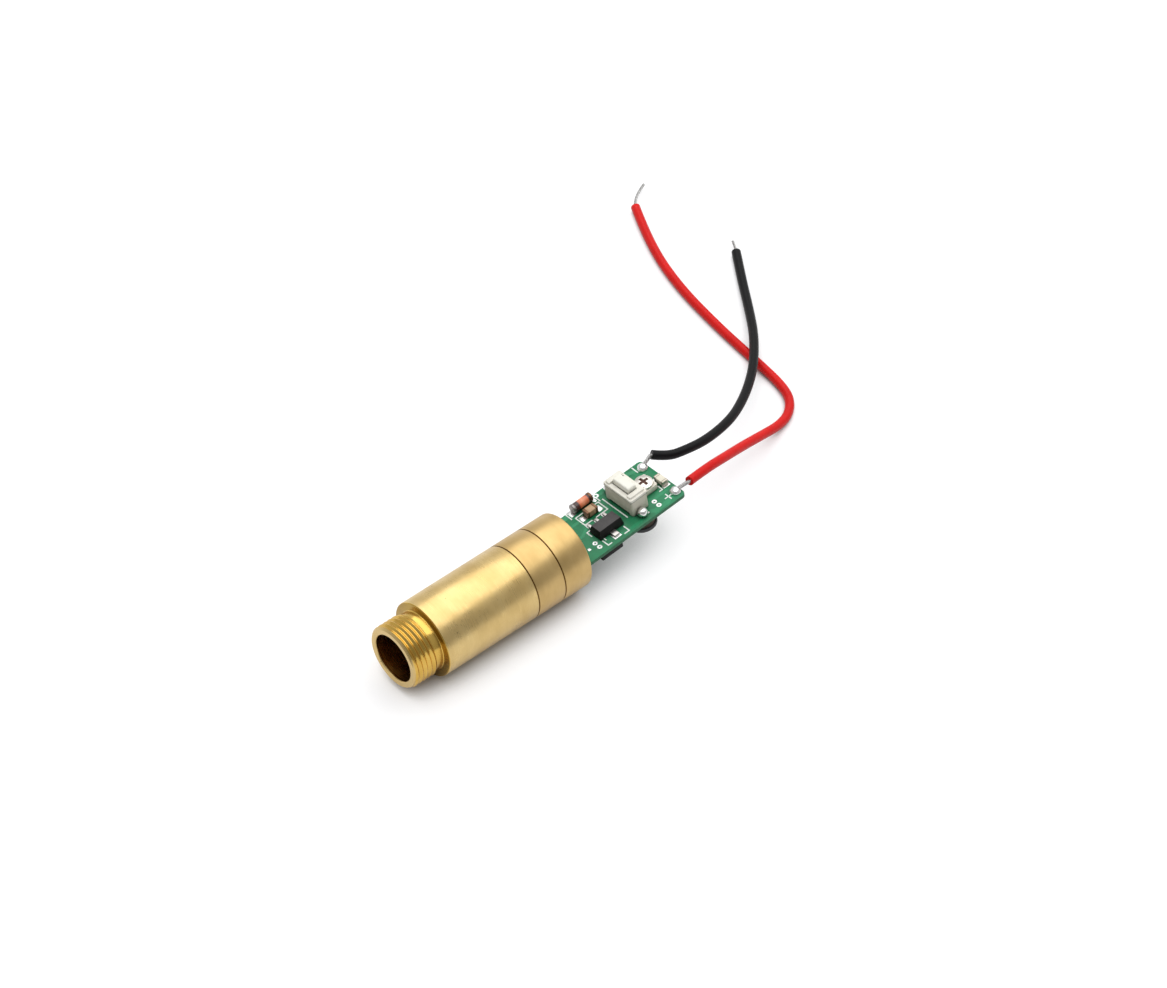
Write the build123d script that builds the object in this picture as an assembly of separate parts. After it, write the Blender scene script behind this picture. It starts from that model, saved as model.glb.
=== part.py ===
from build123d import *
import math
import os

# Laser diode module: a turned brass optical barrel, a driver board and two supply leads.
# The beam axis is Y and the beam leaves the nose towards -Y. The origin is the centre of the nose's
# front face, and +Z is the side of the board that carries the switch. Lengths are millimetres.

# Brass barrel
BARREL_D = 12.0
BARREL_LEN = 16.8
CRYSTAL_RING_LEN = 5.0
DIODE_RING_LEN = 5.0
BARREL_WALL = 1.5
JOINT_CHAMFER = 0.12
EDGE_CHAMFER = 0.2

# Threaded nose
NOSE_LEN = 5.5
SHOULDER_W = 1.0
THREAD_LEN = 4.0
THREAD_PITCH = 0.8
THREAD_DEPTH = 0.25
THREAD_FLAT = 0.11
NECK_CLEARANCE = 0.05
NOSE_CHAMFER = 0.35
NOSE_WALL = 1.2

# Fits between turned pieces
SLIP_FIT = 0.03
PRESS_FIT = 0.01

# Collimating lens and its cell
LENS_SEAT_DEPTH = 9.0
CELL_WALL = 0.74
CELL_LIP_T = 0.6
LENS_EDGE_T = 1.4
LENS_SAG = 0.6
LENS_RIM_W = 0.45
RETAINER_LEN = 1.5
RETAINER_WALL = 1.3

# Crystal holder and the optics in it
CRYSTAL_SPIGOT_LEN = 5.0
FILTER_D = 4.4
FILTER_T = 0.8
EXPANDER_T = 1.2
EXPANDER_SAG = 0.4
EXPANDER_RIM_W = 0.4
CRYSTAL_BORE_D = 1.6
CRYSTAL_SIDE = 1.0
DOUBLER_LEN = 2.0
LASER_CRYSTAL_LEN = 1.0
REAR_SOCKET_D = 6.8
REAR_SOCKET_DEPTH = 3.0

# Diode holder and the pump diode
DIODE_SPIGOT_LEN = 2.8
REAR_WALL = 1.2
POCKET_DEPTH = 3.2
HEADER_D = 5.6
HEADER_T = 1.2
CAN_D = 3.55
CAN_LEN = 2.6
CAN_WALL = 0.2
CAN_GAP = 0.15
WINDOW_HOLE_D = 1.4
WINDOW_D = 2.4
WINDOW_T = 0.25
PIN_D = 0.45
PIN_LEN = 2.2
PIN_GAP = 0.025

# Driver board
BOARD_W = 10.0
BOARD_T = 0.6
BOARD_REACH = 19.25
BOARD_TILT = 5.2
BOARD_ROLL = 5.0
BOARD_TONGUE_LEN = 2.0
BOARD_GAP = 0.2
TONGUE_GAP = 0.1
BOARD_CORNER_R = 0.5

# Tactile switch
SWITCH_X = -0.15
SWITCH_BACK = 12.35
SWITCH_W = 6.0
SWITCH_D = 3.1
SWITCH_BASE_H = 2.8
SWITCH_WALL = 0.5
SWITCH_CAVITY_H = 1.2
SWITCH_CORNER_R = 0.3
ARCH_H = 0.3
ARCH_FOOT_W = 0.8
COVER_T = 0.45
COVER_OVERHANG = 0.08
RIDGE_W = 0.8
RIDGE_H = 0.3
RIDGE_INSET = 0.2
BUTTON_W = 3.4
BUTTON_D = 1.5
BUTTON_RISE = 0.95
BUTTON_EDGE_R = 0.25
BUTTON_GAP = 0.1
FLANGE_T = 0.35
FLANGE_PLAY = 0.05
NUB_D = 1.0
DOME_D = 1.8
DOME_T = 0.08
DOME_H = 0.4
DOME_GAP = 0.02
FOOT_LEN = 1.2
FOOT_W = 1.2
FOOT_T = 0.2
BEAD_D = 1.55
BEAD_H = 1.05

# Trimmer
TRIMMER_X = -0.3
TRIMMER_BACK = 15.8
TRIMMER_W = 3.0
TRIMMER_D = 2.8
TRIMMER_H = 0.95
TRIMMER_CORNER_R = 0.3
ROTOR_D = 2.8
ROTOR_RIM_T = 0.3
ROTOR_CROWN = 0.2
ROTOR_LIFT = 0.06
PIVOT_D = 0.9
PIVOT_GAP = 0.05
PIVOT_FLOOR = 0.2
CROSS_LEN = 1.7
CROSS_W = 0.46
CROSS_DEPTH = 0.35
NOTCH_W = 0.4
NOTCH_LEN = 0.3
NOTCH_TURN = -45.0
CLIP_T = 0.15
CLIP_W = 0.6
CLIP_H = 0.7
CLIP_FOOT = 0.25
CLIP_SPREAD = 1.8

# Three-lead transistor
TRANSISTOR_X = 1.65
TRANSISTOR_BACK = 6.75
TRANSISTOR_W = 2.4
TRANSISTOR_LEN = 4.5
TRANSISTOR_H = 1.5
LEAD_FRAME_T = 0.4
TRANSISTOR_DRAFT = 13.0
LEAD_FRAME_W = 0.45
LEAD_FRAME_REACH = 1.3
LEAD_FRAME_PITCH = 1.5
TAB_W = 0.9
TAB_REACH = 1.1

# Glass diode
GLASS_DIODE_X = -4.45
GLASS_DIODE_BACK = 7.25
GLASS_DIODE_LEN = 3.6
GLASS_DIODE_D = 1.36
END_CAP_D = 1.45
END_CAP_LEN = 0.45

# Chip capacitors, length by width by height
FILTER_CAP_X = -2.4
FILTER_CAP_BACK = 7.2
FILTER_CAP = (2.0, 1.25, 1.1)
OUTPUT_CAP_X = 0.6
OUTPUT_CAP_BACK = 18.3
OUTPUT_CAP = (2.0, 1.1, 0.9)
CHIP_END_LEN = 0.4
CHIP_END_PROUD = 0.03

# Controller chip on the underside
CONTROLLER_X = 1.7
CONTROLLER_BACK = 5.05
CONTROLLER_W = 4.9
CONTROLLER_LEN = 3.9
CONTROLLER_H = 1.3
CONTROLLER_STANDOFF = 0.1
CONTROLLER_CHAMFER = 0.2
GULL_PITCH = 1.27
GULL_W = 0.42
GULL_T = 0.2
GULL_SHELF = 0.35
GULL_FOOT = 0.5
GULL_COUNT = 4

# Drum inductor on the underside
INDUCTOR_X = 1.85
INDUCTOR_BACK = 12.9
INDUCTOR_D = 4.5
INDUCTOR_H = 2.7
FLANGE_DRUM_T = 0.6
DRUM_HUB_D = 2.0
WINDING_D = 4.0
WINDING_GAP = 0.02
DRUM_CLIP_W = 1.4
DRUM_CLIP_T = 0.2

# Solder joints and leads
PAD_X = 3.6
PAD_INSET = 0.92
PAD_HOLE_D = 0.8
SOLDER_D = 1.7
SOLDER_H = 0.75
SOLDER_BACK_D = 1.4
SOLDER_BACK_H = 0.3
CONDUCTOR_D = 0.6
CONDUCTOR_LIFT = 0.05
LEAD_D = 1.45
BEND_SHARE = 0.45

# Places worked out from the sizes above
barrel_r = BARREL_D / 2
floor_z = -barrel_r
shoulder_y = NOSE_LEN
crystal_joint_y = shoulder_y + BARREL_LEN
diode_joint_y = crystal_joint_y + CRYSTAL_RING_LEN
rear_y = diode_joint_y + DIODE_RING_LEN
thread_r = barrel_r - SHOULDER_W
root_r = thread_r - THREAD_DEPTH
neck_r = root_r - NECK_CLEARANCE
nose_bore_r = thread_r - NOSE_WALL
socket_r = barrel_r - BARREL_WALL
spigot_r = socket_r - SLIP_FIT
lens_hole_r = spigot_r - CELL_WALL
lens_r = lens_hole_r - SLIP_FIT
lip_r = lens_r - LENS_RIM_W
lens_front_y = LENS_SEAT_DEPTH + CELL_LIP_T
lens_back_y = lens_front_y + LENS_EDGE_T
filter_front_y = crystal_joint_y - CRYSTAL_SPIGOT_LEN
expander_front_y = filter_front_y + FILTER_T
expander_back_y = expander_front_y + EXPANDER_T
rear_socket_y = diode_joint_y - REAR_SOCKET_DEPTH
pocket_y = rear_y - POCKET_DEPTH
header_y = pocket_y - HEADER_T
pocket_r = barrel_r - REAR_WALL
tongue_y = rear_y - BOARD_TONGUE_LEN
tilt = math.radians(BOARD_TILT)
pin_rise = (pocket_y + PIN_LEN - tongue_y) * math.tan(tilt)
pin_circle_r = (BOARD_T / math.cos(tilt) + pin_rise + 2 * PIN_GAP + PIN_D) / (1 + math.sin(math.radians(30)))
board_top = pin_circle_r / 2 - PIN_D / 2 - PIN_GAP - pin_rise
board_mid = board_top - BOARD_T / 2
board_bottom = board_top - BOARD_T
board_tail_y = rear_y + BOARD_REACH
switch_y = rear_y + SWITCH_BACK
trimmer_y = rear_y + TRIMMER_BACK
cover_z = board_top + SWITCH_BASE_H
pad_y = board_tail_y - PAD_INSET
lead_rest_z = floor_z + LEAD_D / 2

# The board leans up towards its tail and is rolled about the beam axis with the pins of the diode;
# its parts are drawn level and then take the same lean and roll
ROLL = Rot(0, -BOARD_ROLL, 0)
LEAN = ROLL * Pos(0, tongue_y, board_mid) * Rot(BOARD_TILT, 0, 0) * Pos(0, -tongue_y, -board_mid)

# Routes of the leads: out over the end of the board, down to the surface, and along it
RED_ROUTE = [
    (3.55, 53.15, 2.75),
    (2.8, 57.1, 2.1),
    (1.85, 61.3, 0.7),
    (0.4, 66.5, -1.4),
    (-0.8, 71.7, -3.4),
    (-1.7, 75.9, -4.9),
    (-2.7, 78.8, lead_rest_z),
    (-4.9, 81.2, lead_rest_z),
    (-8.2, 82.3, lead_rest_z),
    (-13.8, 82.8, lead_rest_z),
    (-23.4, 83.5, lead_rest_z),
    (-34.4, 85.0, lead_rest_z),
    (-44.2, 88.0, lead_rest_z),
    (-51.6, 91.8, lead_rest_z),
]
RED_TIP = [(-53.3, 92.9, lead_rest_z), (-54.6, 96.2, lead_rest_z)]
BLACK_ROUTE = [
    (-4.25, 52.75, 2.5),
    (-2.95, 54.8, 1.75),
    (-2.55, 58.0, 1.3),
    (-2.85, 62.4, 0.25),
    (-4.5, 68.4, -1.1),
    (-6.9, 73.0, -2.2),
    (-9.9, 77.5, -3.0),
    (-13.3, 81.5, -3.5),
    (-17.9, 85.7, -4.1),
    (-23.3, 89.6, -5.0),
    (-28.8, 93.2, lead_rest_z),
    (-33.9, 96.7, lead_rest_z),
]
BLACK_TIP = [(-34.8, 97.3, lead_rest_z), (-36.0, 97.9, lead_rest_z)]


# Helpers
def turned(*profile):
    """Solid turned about the beam axis from (radius, y) corners."""
    return revolve(make_face(Polyline(*profile, close=True)), Axis.Y)


def turned_curve(*edges):
    """Solid turned about the beam axis from edges drawn in (radius, y)."""
    return revolve(make_face(list(edges)), Axis.Y)


def cap_arc(rim_r, rim_at, apex_at):
    """Arc of a ball's surface from a rim to the axis, in (radius, height)."""
    rise = apex_at - rim_at
    angle = 2 * math.atan(abs(rise) / rim_r)
    ball_r = rim_r / math.sin(angle)
    centre = apex_at - math.copysign(ball_r, rise)
    middle = (ball_r * math.sin(angle / 2), centre + math.copysign(ball_r * math.cos(angle / 2), rise))
    return ThreePointArc((rim_r, rim_at), middle, (0, apex_at))


def upright(x, y, *edges):
    """Solid turned about a vertical line through (x, y) from edges drawn in (radius, z)."""
    return Pos(x, y, 0) * revolve(Plane.XZ * make_face(list(edges)), Axis.Z)


def block(x, y, z, width, depth, height):
    """Box centred on (x, y) that stands on the level z."""
    return Pos(x, y, z) * Box(width, depth, height, align=(Align.CENTER, Align.CENTER, Align.MIN))


def hanging_block(x, y, z, width, depth, height):
    """Box centred on (x, y) that hangs below the level z."""
    return Pos(x, y, z) * Box(width, depth, height, align=(Align.CENTER, Align.CENTER, Align.MAX))


def rod(start, end, diameter):
    """Round bar between two points."""
    run = Vector(*end) - Vector(*start)
    bar = Cylinder(diameter / 2, run.length, align=(Align.CENTER, Align.CENTER, Align.MIN))
    return Plane(origin=start, z_dir=run) * bar


def bend_radii(route):
    """Radius of each bend of a route: as large as the shorter of its two runs allows."""
    radii = []
    for before, corner, after in zip(route, route[1:], route[2:]):
        run_in = Vector(*corner) - Vector(*before)
        run_out = Vector(*after) - Vector(*corner)
        half_turn = math.radians(run_in.get_angle(run_out) / 2)
        radii.append(BEND_SHARE * min(run_in.length, run_out.length) / math.tan(half_turn))
    return radii


def bent_wire(route, diameter):
    """Round wire along straight runs joined by tangent arcs."""
    path = FilletPolyline(*route, radius=bend_radii(route))
    section = Plane(origin=path @ 0, z_dir=path % 0) * Circle(diameter / 2)
    return sweep(section, path)


# Brass barrel
def make_thread_groove():
    """Right-hand groove between the crests of the nose thread, from ahead of the nose into the neck."""
    half_root = THREAD_FLAT / 2
    half_mouth = (THREAD_PITCH - THREAD_FLAT) / 2
    start = -THREAD_PITCH
    end = THREAD_LEN + thread_r - neck_r + THREAD_PITCH / 2
    path = Helix(THREAD_PITCH, end - start, root_r, center=(0, 0, start))
    profile = Polyline(
        (root_r, start - half_root),
        (thread_r, start - half_mouth),
        (thread_r + THREAD_DEPTH, start - half_mouth),
        (thread_r + THREAD_DEPTH, start + half_mouth),
        (thread_r, start + half_mouth),
        (root_r, start + half_root),
        close=True,
    )
    groove = sweep(Plane.XZ * make_face(profile), path, is_frenet=True)
    return Plane(origin=(0, 0, 0), x_dir=(0, 0, 1), z_dir=(0, 1, 0)) * groove


def make_front_barrel():
    """Turned tube with a threaded nose, open from the nose to the crystal holder."""
    blank = turned(
        (nose_bore_r, 0),
        (thread_r - NOSE_CHAMFER, 0),
        (thread_r, NOSE_CHAMFER),
        (thread_r, THREAD_LEN),
        (neck_r, THREAD_LEN + thread_r - neck_r),
        (neck_r, shoulder_y),
        (barrel_r - EDGE_CHAMFER, shoulder_y),
        (barrel_r, shoulder_y + EDGE_CHAMFER),
        (barrel_r, crystal_joint_y - JOINT_CHAMFER),
        (barrel_r - JOINT_CHAMFER, crystal_joint_y),
        (socket_r, crystal_joint_y),
        (socket_r, LENS_SEAT_DEPTH),
        (nose_bore_r, LENS_SEAT_DEPTH),
    )
    return blank - make_thread_groove()


def make_crystal_holder():
    """Middle ring: its spigot fits the front barrel, and its bore holds the crystals and the expander."""
    optic_r = FILTER_D / 2
    bore_r = CRYSTAL_BORE_D / 2
    rear_socket_r = REAR_SOCKET_D / 2
    return turned(
        (optic_r, filter_front_y),
        (spigot_r - EDGE_CHAMFER, filter_front_y),
        (spigot_r, filter_front_y + EDGE_CHAMFER),
        (spigot_r, crystal_joint_y),
        (barrel_r - JOINT_CHAMFER, crystal_joint_y),
        (barrel_r, crystal_joint_y + JOINT_CHAMFER),
        (barrel_r, diode_joint_y - JOINT_CHAMFER),
        (barrel_r - JOINT_CHAMFER, diode_joint_y),
        (rear_socket_r, diode_joint_y),
        (rear_socket_r, rear_socket_y),
        (bore_r, rear_socket_y),
        (bore_r, expander_back_y),
        (optic_r, expander_back_y),
    )


def make_diode_holder():
    """Rear ring: it holds the pump diode, and its rear pocket takes the tongue of the board."""
    spigot_front_y = diode_joint_y - DIODE_SPIGOT_LEN
    diode_spigot_r = REAR_SOCKET_D / 2 - SLIP_FIT
    can_hole_r = CAN_D / 2 + CAN_GAP
    header_hole_r = HEADER_D / 2 + PRESS_FIT
    return turned(
        (can_hole_r, spigot_front_y),
        (diode_spigot_r - EDGE_CHAMFER, spigot_front_y),
        (diode_spigot_r, spigot_front_y + EDGE_CHAMFER),
        (diode_spigot_r, diode_joint_y),
        (barrel_r - JOINT_CHAMFER, diode_joint_y),
        (barrel_r, diode_joint_y + JOINT_CHAMFER),
        (barrel_r, rear_y - EDGE_CHAMFER),
        (barrel_r - EDGE_CHAMFER, rear_y),
        (pocket_r, rear_y),
        (pocket_r, pocket_y),
        (header_hole_r, pocket_y),
        (header_hole_r, header_y),
        (can_hole_r, header_y),
    )


# Optics
def make_lens_cell():
    """Ring that carries the collimating lens against the step in the barrel."""
    return turned(
        (lip_r, LENS_SEAT_DEPTH),
        (spigot_r, LENS_SEAT_DEPTH),
        (spigot_r, lens_back_y),
        (lens_hole_r, lens_back_y),
        (lens_hole_r, lens_front_y),
        (lip_r, lens_front_y),
    )


def make_collimating_lens():
    """Lens with a flat back, a flat rim and a domed front."""
    dome_r = lip_r - SLIP_FIT
    return turned_curve(
        Line((0, lens_back_y), (lens_r, lens_back_y)),
        Line((lens_r, lens_back_y), (lens_r, lens_front_y)),
        Line((lens_r, lens_front_y), (dome_r, lens_front_y)),
        cap_arc(dome_r, lens_front_y, lens_front_y - LENS_SAG),
        Line((0, lens_front_y - LENS_SAG), (0, lens_back_y)),
    )


def make_lens_retainer():
    """Ring behind the lens that clamps the cell and the lens to their step."""
    return turned(
        (spigot_r - RETAINER_WALL, lens_back_y),
        (spigot_r, lens_back_y),
        (spigot_r, lens_back_y + RETAINER_LEN),
        (spigot_r - RETAINER_WALL, lens_back_y + RETAINER_LEN),
    )


def make_infrared_filter():
    """Flat disc in the mouth of the crystal holder."""
    filter_r = FILTER_D / 2 - SLIP_FIT
    return turned(
        (0, filter_front_y),
        (filter_r, filter_front_y),
        (filter_r, expander_front_y),
        (0, expander_front_y),
    )


def make_expander_lens():
    """Lens with a flat back and a hollow front, behind the filter."""
    rim_r = FILTER_D / 2 - SLIP_FIT
    hollow_r = rim_r - EXPANDER_RIM_W
    return turned_curve(
        Line((0, expander_back_y), (rim_r, expander_back_y)),
        Line((rim_r, expander_back_y), (rim_r, expander_front_y)),
        Line((rim_r, expander_front_y), (hollow_r, expander_front_y)),
        cap_arc(hollow_r, expander_front_y, expander_front_y + EXPANDER_SAG),
        Line((0, expander_front_y + EXPANDER_SAG), (0, expander_back_y)),
    )


def make_crystal(back_y, length):
    """Square crystal on the beam axis that ends at back_y."""
    return Pos(0, back_y - length / 2, 0) * Box(CRYSTAL_SIDE, length, CRYSTAL_SIDE)


# Pump diode
def make_diode_header():
    """Thick round base of the pump diode, pressed into the diode holder."""
    header_r = HEADER_D / 2
    return turned((0, header_y), (header_r, header_y), (header_r, pocket_y), (0, pocket_y))


def make_diode_can():
    """Thin cap over the diode with a round opening in front."""
    can_r = CAN_D / 2
    front_y = header_y - CAN_LEN
    return turned(
        (WINDOW_HOLE_D / 2, front_y),
        (can_r, front_y),
        (can_r, header_y),
        (can_r - CAN_WALL, header_y),
        (can_r - CAN_WALL, front_y + CAN_WALL),
        (WINDOW_HOLE_D / 2, front_y + CAN_WALL),
    )


def make_diode_window():
    """Glass disc behind the opening of the can."""
    front_y = header_y - CAN_LEN + CAN_WALL
    window_r = WINDOW_D / 2
    return turned((0, front_y), (window_r, front_y), (window_r, front_y + WINDOW_T), (0, front_y + WINDOW_T))


def make_diode_pins():
    """Three pins that straddle the board: two above it and one below."""
    pins = []
    for angle in (30, 150, 270):
        x = pin_circle_r * math.cos(math.radians(angle))
        z = pin_circle_r * math.sin(math.radians(angle))
        pins.append(rod((x, pocket_y, z), (x, pocket_y + PIN_LEN, z), PIN_D))
    return pins


# Driver board
def make_driver_board():
    """Board with a tongue into the diode holder, rounded rear corners and plated lead holes."""
    level = max(abs(board_top), abs(board_bottom))
    tongue_half_w = math.sqrt(pocket_r ** 2 - level ** 2) - TONGUE_GAP
    shoulder = rear_y + BOARD_GAP
    body_len = board_tail_y - shoulder
    body = block(0, shoulder + body_len / 2, board_bottom, BOARD_W, body_len, BOARD_T)
    rear_corners = body.edges().filter_by(Axis.Z).group_by(Axis.Y)[-1]
    body = fillet(rear_corners, BOARD_CORNER_R)
    tongue_len = BOARD_TONGUE_LEN + BOARD_GAP
    body += block(0, shoulder - tongue_len / 2, board_bottom, 2 * tongue_half_w, tongue_len, BOARD_T)
    for side in (-1, 1):
        pad = (side * PAD_X, pad_y)
        body -= rod((*pad, board_bottom), (*pad, board_top), PAD_HOLE_D)
    return body


# Tactile switch
def make_switch_base():
    """Moulded body on a foot at each end, open on top for the dome and the foot of the button."""
    base = block(SWITCH_X, switch_y, board_top, SWITCH_W, SWITCH_D, SWITCH_BASE_H)
    base = fillet(base.edges().filter_by(Axis.Z), SWITCH_CORNER_R)
    base -= block(SWITCH_X, switch_y, board_top, SWITCH_W - 2 * ARCH_FOOT_W, SWITCH_D, ARCH_H)
    cavity_w = SWITCH_W - 2 * SWITCH_WALL
    cavity_d = SWITCH_D - 2 * SWITCH_WALL
    return base - hanging_block(SWITCH_X, switch_y, cover_z, cavity_w, cavity_d, SWITCH_CAVITY_H)


def make_switch_cover():
    """Plate over the switch with an opening for the button and a raised ridge at each end."""
    overhang = 2 * COVER_OVERHANG
    cover = block(SWITCH_X, switch_y, cover_z, SWITCH_W + overhang, SWITCH_D + overhang, COVER_T)
    cover = fillet(cover.edges().filter_by(Axis.Z), SWITCH_CORNER_R)
    opening_w = BUTTON_W + 2 * BUTTON_GAP
    opening_d = BUTTON_D + 2 * BUTTON_GAP
    cover -= block(SWITCH_X, switch_y, cover_z, opening_w, opening_d, COVER_T)
    ridge_x = (BUTTON_W + RIDGE_W) / 2 + RIDGE_INSET
    ridge_d = SWITCH_D - 2 * RIDGE_INSET
    for side in (-1, 1):
        cover += block(SWITCH_X + side * ridge_x, switch_y, cover_z + COVER_T, RIDGE_W, ridge_d, RIDGE_H)
    return cover


def make_switch_button():
    """Bar through the cover, with a flange that the cover retains and a nub on the dome."""
    flange_top = cover_z - FLANGE_PLAY
    flange_bottom = flange_top - FLANGE_T
    button_top = cover_z + COVER_T + BUTTON_RISE
    bar = block(SWITCH_X, switch_y, flange_top, BUTTON_W, BUTTON_D, button_top - flange_top)
    bar = fillet(bar.edges().group_by(Axis.Z)[-1], BUTTON_EDGE_R)
    flange_w = SWITCH_W - 2 * SWITCH_WALL - 2 * BUTTON_GAP
    flange_d = SWITCH_D - 2 * SWITCH_WALL - 2 * BUTTON_GAP
    flange = block(SWITCH_X, switch_y, flange_bottom, flange_w, flange_d, FLANGE_T)
    nub_bottom = cover_z - SWITCH_CAVITY_H + DOME_H + DOME_GAP
    nub = rod((SWITCH_X, switch_y, nub_bottom), (SWITCH_X, switch_y, flange_bottom), NUB_D)
    return bar + flange + nub


def make_switch_dome():
    """Thin snap dome on the floor of the switch."""
    floor = cover_z - SWITCH_CAVITY_H
    dome_r = DOME_D / 2
    inner_r = dome_r - DOME_T
    inner_h = DOME_H - DOME_T
    return upright(
        SWITCH_X,
        switch_y,
        Line((inner_r, floor), (dome_r, floor)),
        cap_arc(dome_r, floor, floor + DOME_H),
        Line((0, floor + DOME_H), (0, floor + inner_h)),
        cap_arc(inner_r, floor, floor + inner_h),
    )


def make_switch_terminals():
    """Flat feet at both ends of the switch."""
    reach = SWITCH_W / 2 + FOOT_LEN / 2
    return [block(SWITCH_X + side * reach, switch_y, board_top, FOOT_LEN, FOOT_W, FOOT_T) for side in (-1, 1)]


def make_switch_solder():
    """Rounded beads of solder on the feet of the switch, against its ends."""
    bead_r = BEAD_D / 2
    reach = SWITCH_W / 2 + FOOT_LEN / 2
    bottom = board_top + FOOT_T
    waist = bottom + BEAD_H - bead_r
    body = block(SWITCH_X, switch_y, board_top, SWITCH_W, SWITCH_D, SWITCH_BASE_H)
    return [
        upright(
            SWITCH_X + side * reach,
            switch_y,
            Line((0, bottom), (bead_r, bottom)),
            Line((bead_r, bottom), (bead_r, waist)),
            cap_arc(bead_r, waist, waist + bead_r),
            Line((0, waist + bead_r), (0, bottom)),
        )
        - body
        for side in (-1, 1)
    ]


# Trimmer
def make_trimmer_base():
    """Square base with a blind hole for the pivot of the rotor."""
    base = block(TRIMMER_X, trimmer_y, board_top, TRIMMER_W, TRIMMER_D, TRIMMER_H)
    base = fillet(base.edges().filter_by(Axis.Z), TRIMMER_CORNER_R)
    hole_floor = (TRIMMER_X, trimmer_y, board_top + PIVOT_FLOOR)
    hole_mouth = (TRIMMER_X, trimmer_y, board_top + TRIMMER_H)
    return base - rod(hole_floor, hole_mouth, PIVOT_D + 2 * PIVOT_GAP)


def make_trimmer_rotor():
    """Domed disc on a pivot, with a cross recess for a screwdriver and a notch in its rim."""
    rotor_r = ROTOR_D / 2
    pivot_r = PIVOT_D / 2
    pivot_bottom = board_top + PIVOT_FLOOR + PIVOT_GAP
    rim_bottom = board_top + TRIMMER_H + ROTOR_LIFT
    rim_top = rim_bottom + ROTOR_RIM_T
    disc = upright(
        TRIMMER_X,
        trimmer_y,
        Line((0, pivot_bottom), (pivot_r, pivot_bottom)),
        Line((pivot_r, pivot_bottom), (pivot_r, rim_bottom)),
        Line((pivot_r, rim_bottom), (rotor_r, rim_bottom)),
        Line((rotor_r, rim_bottom), (rotor_r, rim_top)),
        cap_arc(rotor_r, rim_top, rim_top + ROTOR_CROWN),
        Line((0, rim_top + ROTOR_CROWN), (0, pivot_bottom)),
    )
    crown = rim_top + ROTOR_CROWN
    disc -= hanging_block(TRIMMER_X, trimmer_y, crown, CROSS_LEN, CROSS_W, CROSS_DEPTH)
    disc -= hanging_block(TRIMMER_X, trimmer_y, crown, CROSS_W, CROSS_LEN, CROSS_DEPTH)
    notch = hanging_block(rotor_r, 0, crown, 2 * NOTCH_LEN, NOTCH_W, CROSS_DEPTH)
    return disc - Pos(TRIMMER_X, trimmer_y, 0) * Rot(0, 0, NOTCH_TURN) * notch


def make_trimmer_terminals():
    """Two clips in front of the base and one behind it, each with a foot on the board."""
    clips = []
    for x, side in ((-CLIP_SPREAD / 2, -1), (CLIP_SPREAD / 2, -1), (0, 1)):
        wall = trimmer_y + side * TRIMMER_D / 2
        face = make_face(
            Polyline(
                (wall, board_top),
                (wall + side * (CLIP_T + CLIP_FOOT), board_top),
                (wall + side * (CLIP_T + CLIP_FOOT), board_top + CLIP_T),
                (wall + side * CLIP_T, board_top + CLIP_T),
                (wall + side * CLIP_T, board_top + CLIP_H),
                (wall, board_top + CLIP_H),
                close=True,
            )
        )
        clip = extrude(Plane.YZ * face, CLIP_W / 2, both=True)
        clips.append(Pos(TRIMMER_X + x, 0, 0) * clip)
    return clips


# Transistor
def make_transistor_body():
    """Moulded body: upright beside its leads and drafted above them."""
    y = rear_y + TRANSISTOR_BACK
    outline = Pos(TRANSISTOR_X, y, board_top) * Rectangle(TRANSISTOR_W, TRANSISTOR_LEN)
    lower = extrude(outline, LEAD_FRAME_T)
    upper = extrude(Pos(0, 0, LEAD_FRAME_T) * outline, TRANSISTOR_H - LEAD_FRAME_T, taper=TRANSISTOR_DRAFT)
    return lower + upper


def make_transistor_leads():
    """Wide tab on one side and three leads on the other."""
    y = rear_y + TRANSISTOR_BACK
    tab_x = TRANSISTOR_X + TRANSISTOR_W / 2 + TAB_REACH / 2
    lead_x = TRANSISTOR_X - TRANSISTOR_W / 2 - LEAD_FRAME_REACH / 2
    leads = [block(tab_x, y, board_top, TAB_REACH, TAB_W, LEAD_FRAME_T)]
    for step in (-1, 0, 1):
        lead_y = y + step * LEAD_FRAME_PITCH
        leads.append(block(lead_x, lead_y, board_top, LEAD_FRAME_REACH, LEAD_FRAME_W, LEAD_FRAME_T))
    return leads


# Glass diode
def glass_diode_ends():
    """Front and rear of the glass diode, and the height of its axis."""
    y = rear_y + GLASS_DIODE_BACK
    return y - GLASS_DIODE_LEN / 2, y + GLASS_DIODE_LEN / 2, board_top + END_CAP_D / 2


def make_glass_diode():
    """Glass tube between the end caps."""
    front, back, axis_z = glass_diode_ends()
    start = (GLASS_DIODE_X, front + END_CAP_LEN, axis_z)
    return rod(start, (GLASS_DIODE_X, back - END_CAP_LEN, axis_z), GLASS_DIODE_D)


def make_glass_diode_caps():
    """Metal caps on both ends of the glass tube."""
    front, back, axis_z = glass_diode_ends()
    caps = []
    for start in (front, back - END_CAP_LEN):
        end = (GLASS_DIODE_X, start + END_CAP_LEN, axis_z)
        caps.append(rod((GLASS_DIODE_X, start, axis_z), end, END_CAP_D))
    return caps


# Chip capacitors
def make_chip(x, y, turn, size):
    """Ceramic block and its two plated ends, with the length along X before the turn about Z."""
    length, width, height = size
    proud = 2 * CHIP_END_PROUD
    body = block(0, 0, board_top + CHIP_END_PROUD, length - 2 * CHIP_END_LEN, width - proud, height - proud)
    reach = (length - CHIP_END_LEN) / 2
    ends = [block(side * reach, 0, board_top, CHIP_END_LEN, width, height) for side in (-1, 1)]
    place = Pos(x, y, 0) * Rot(0, 0, turn)
    return place * body, [place * end for end in ends]


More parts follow.
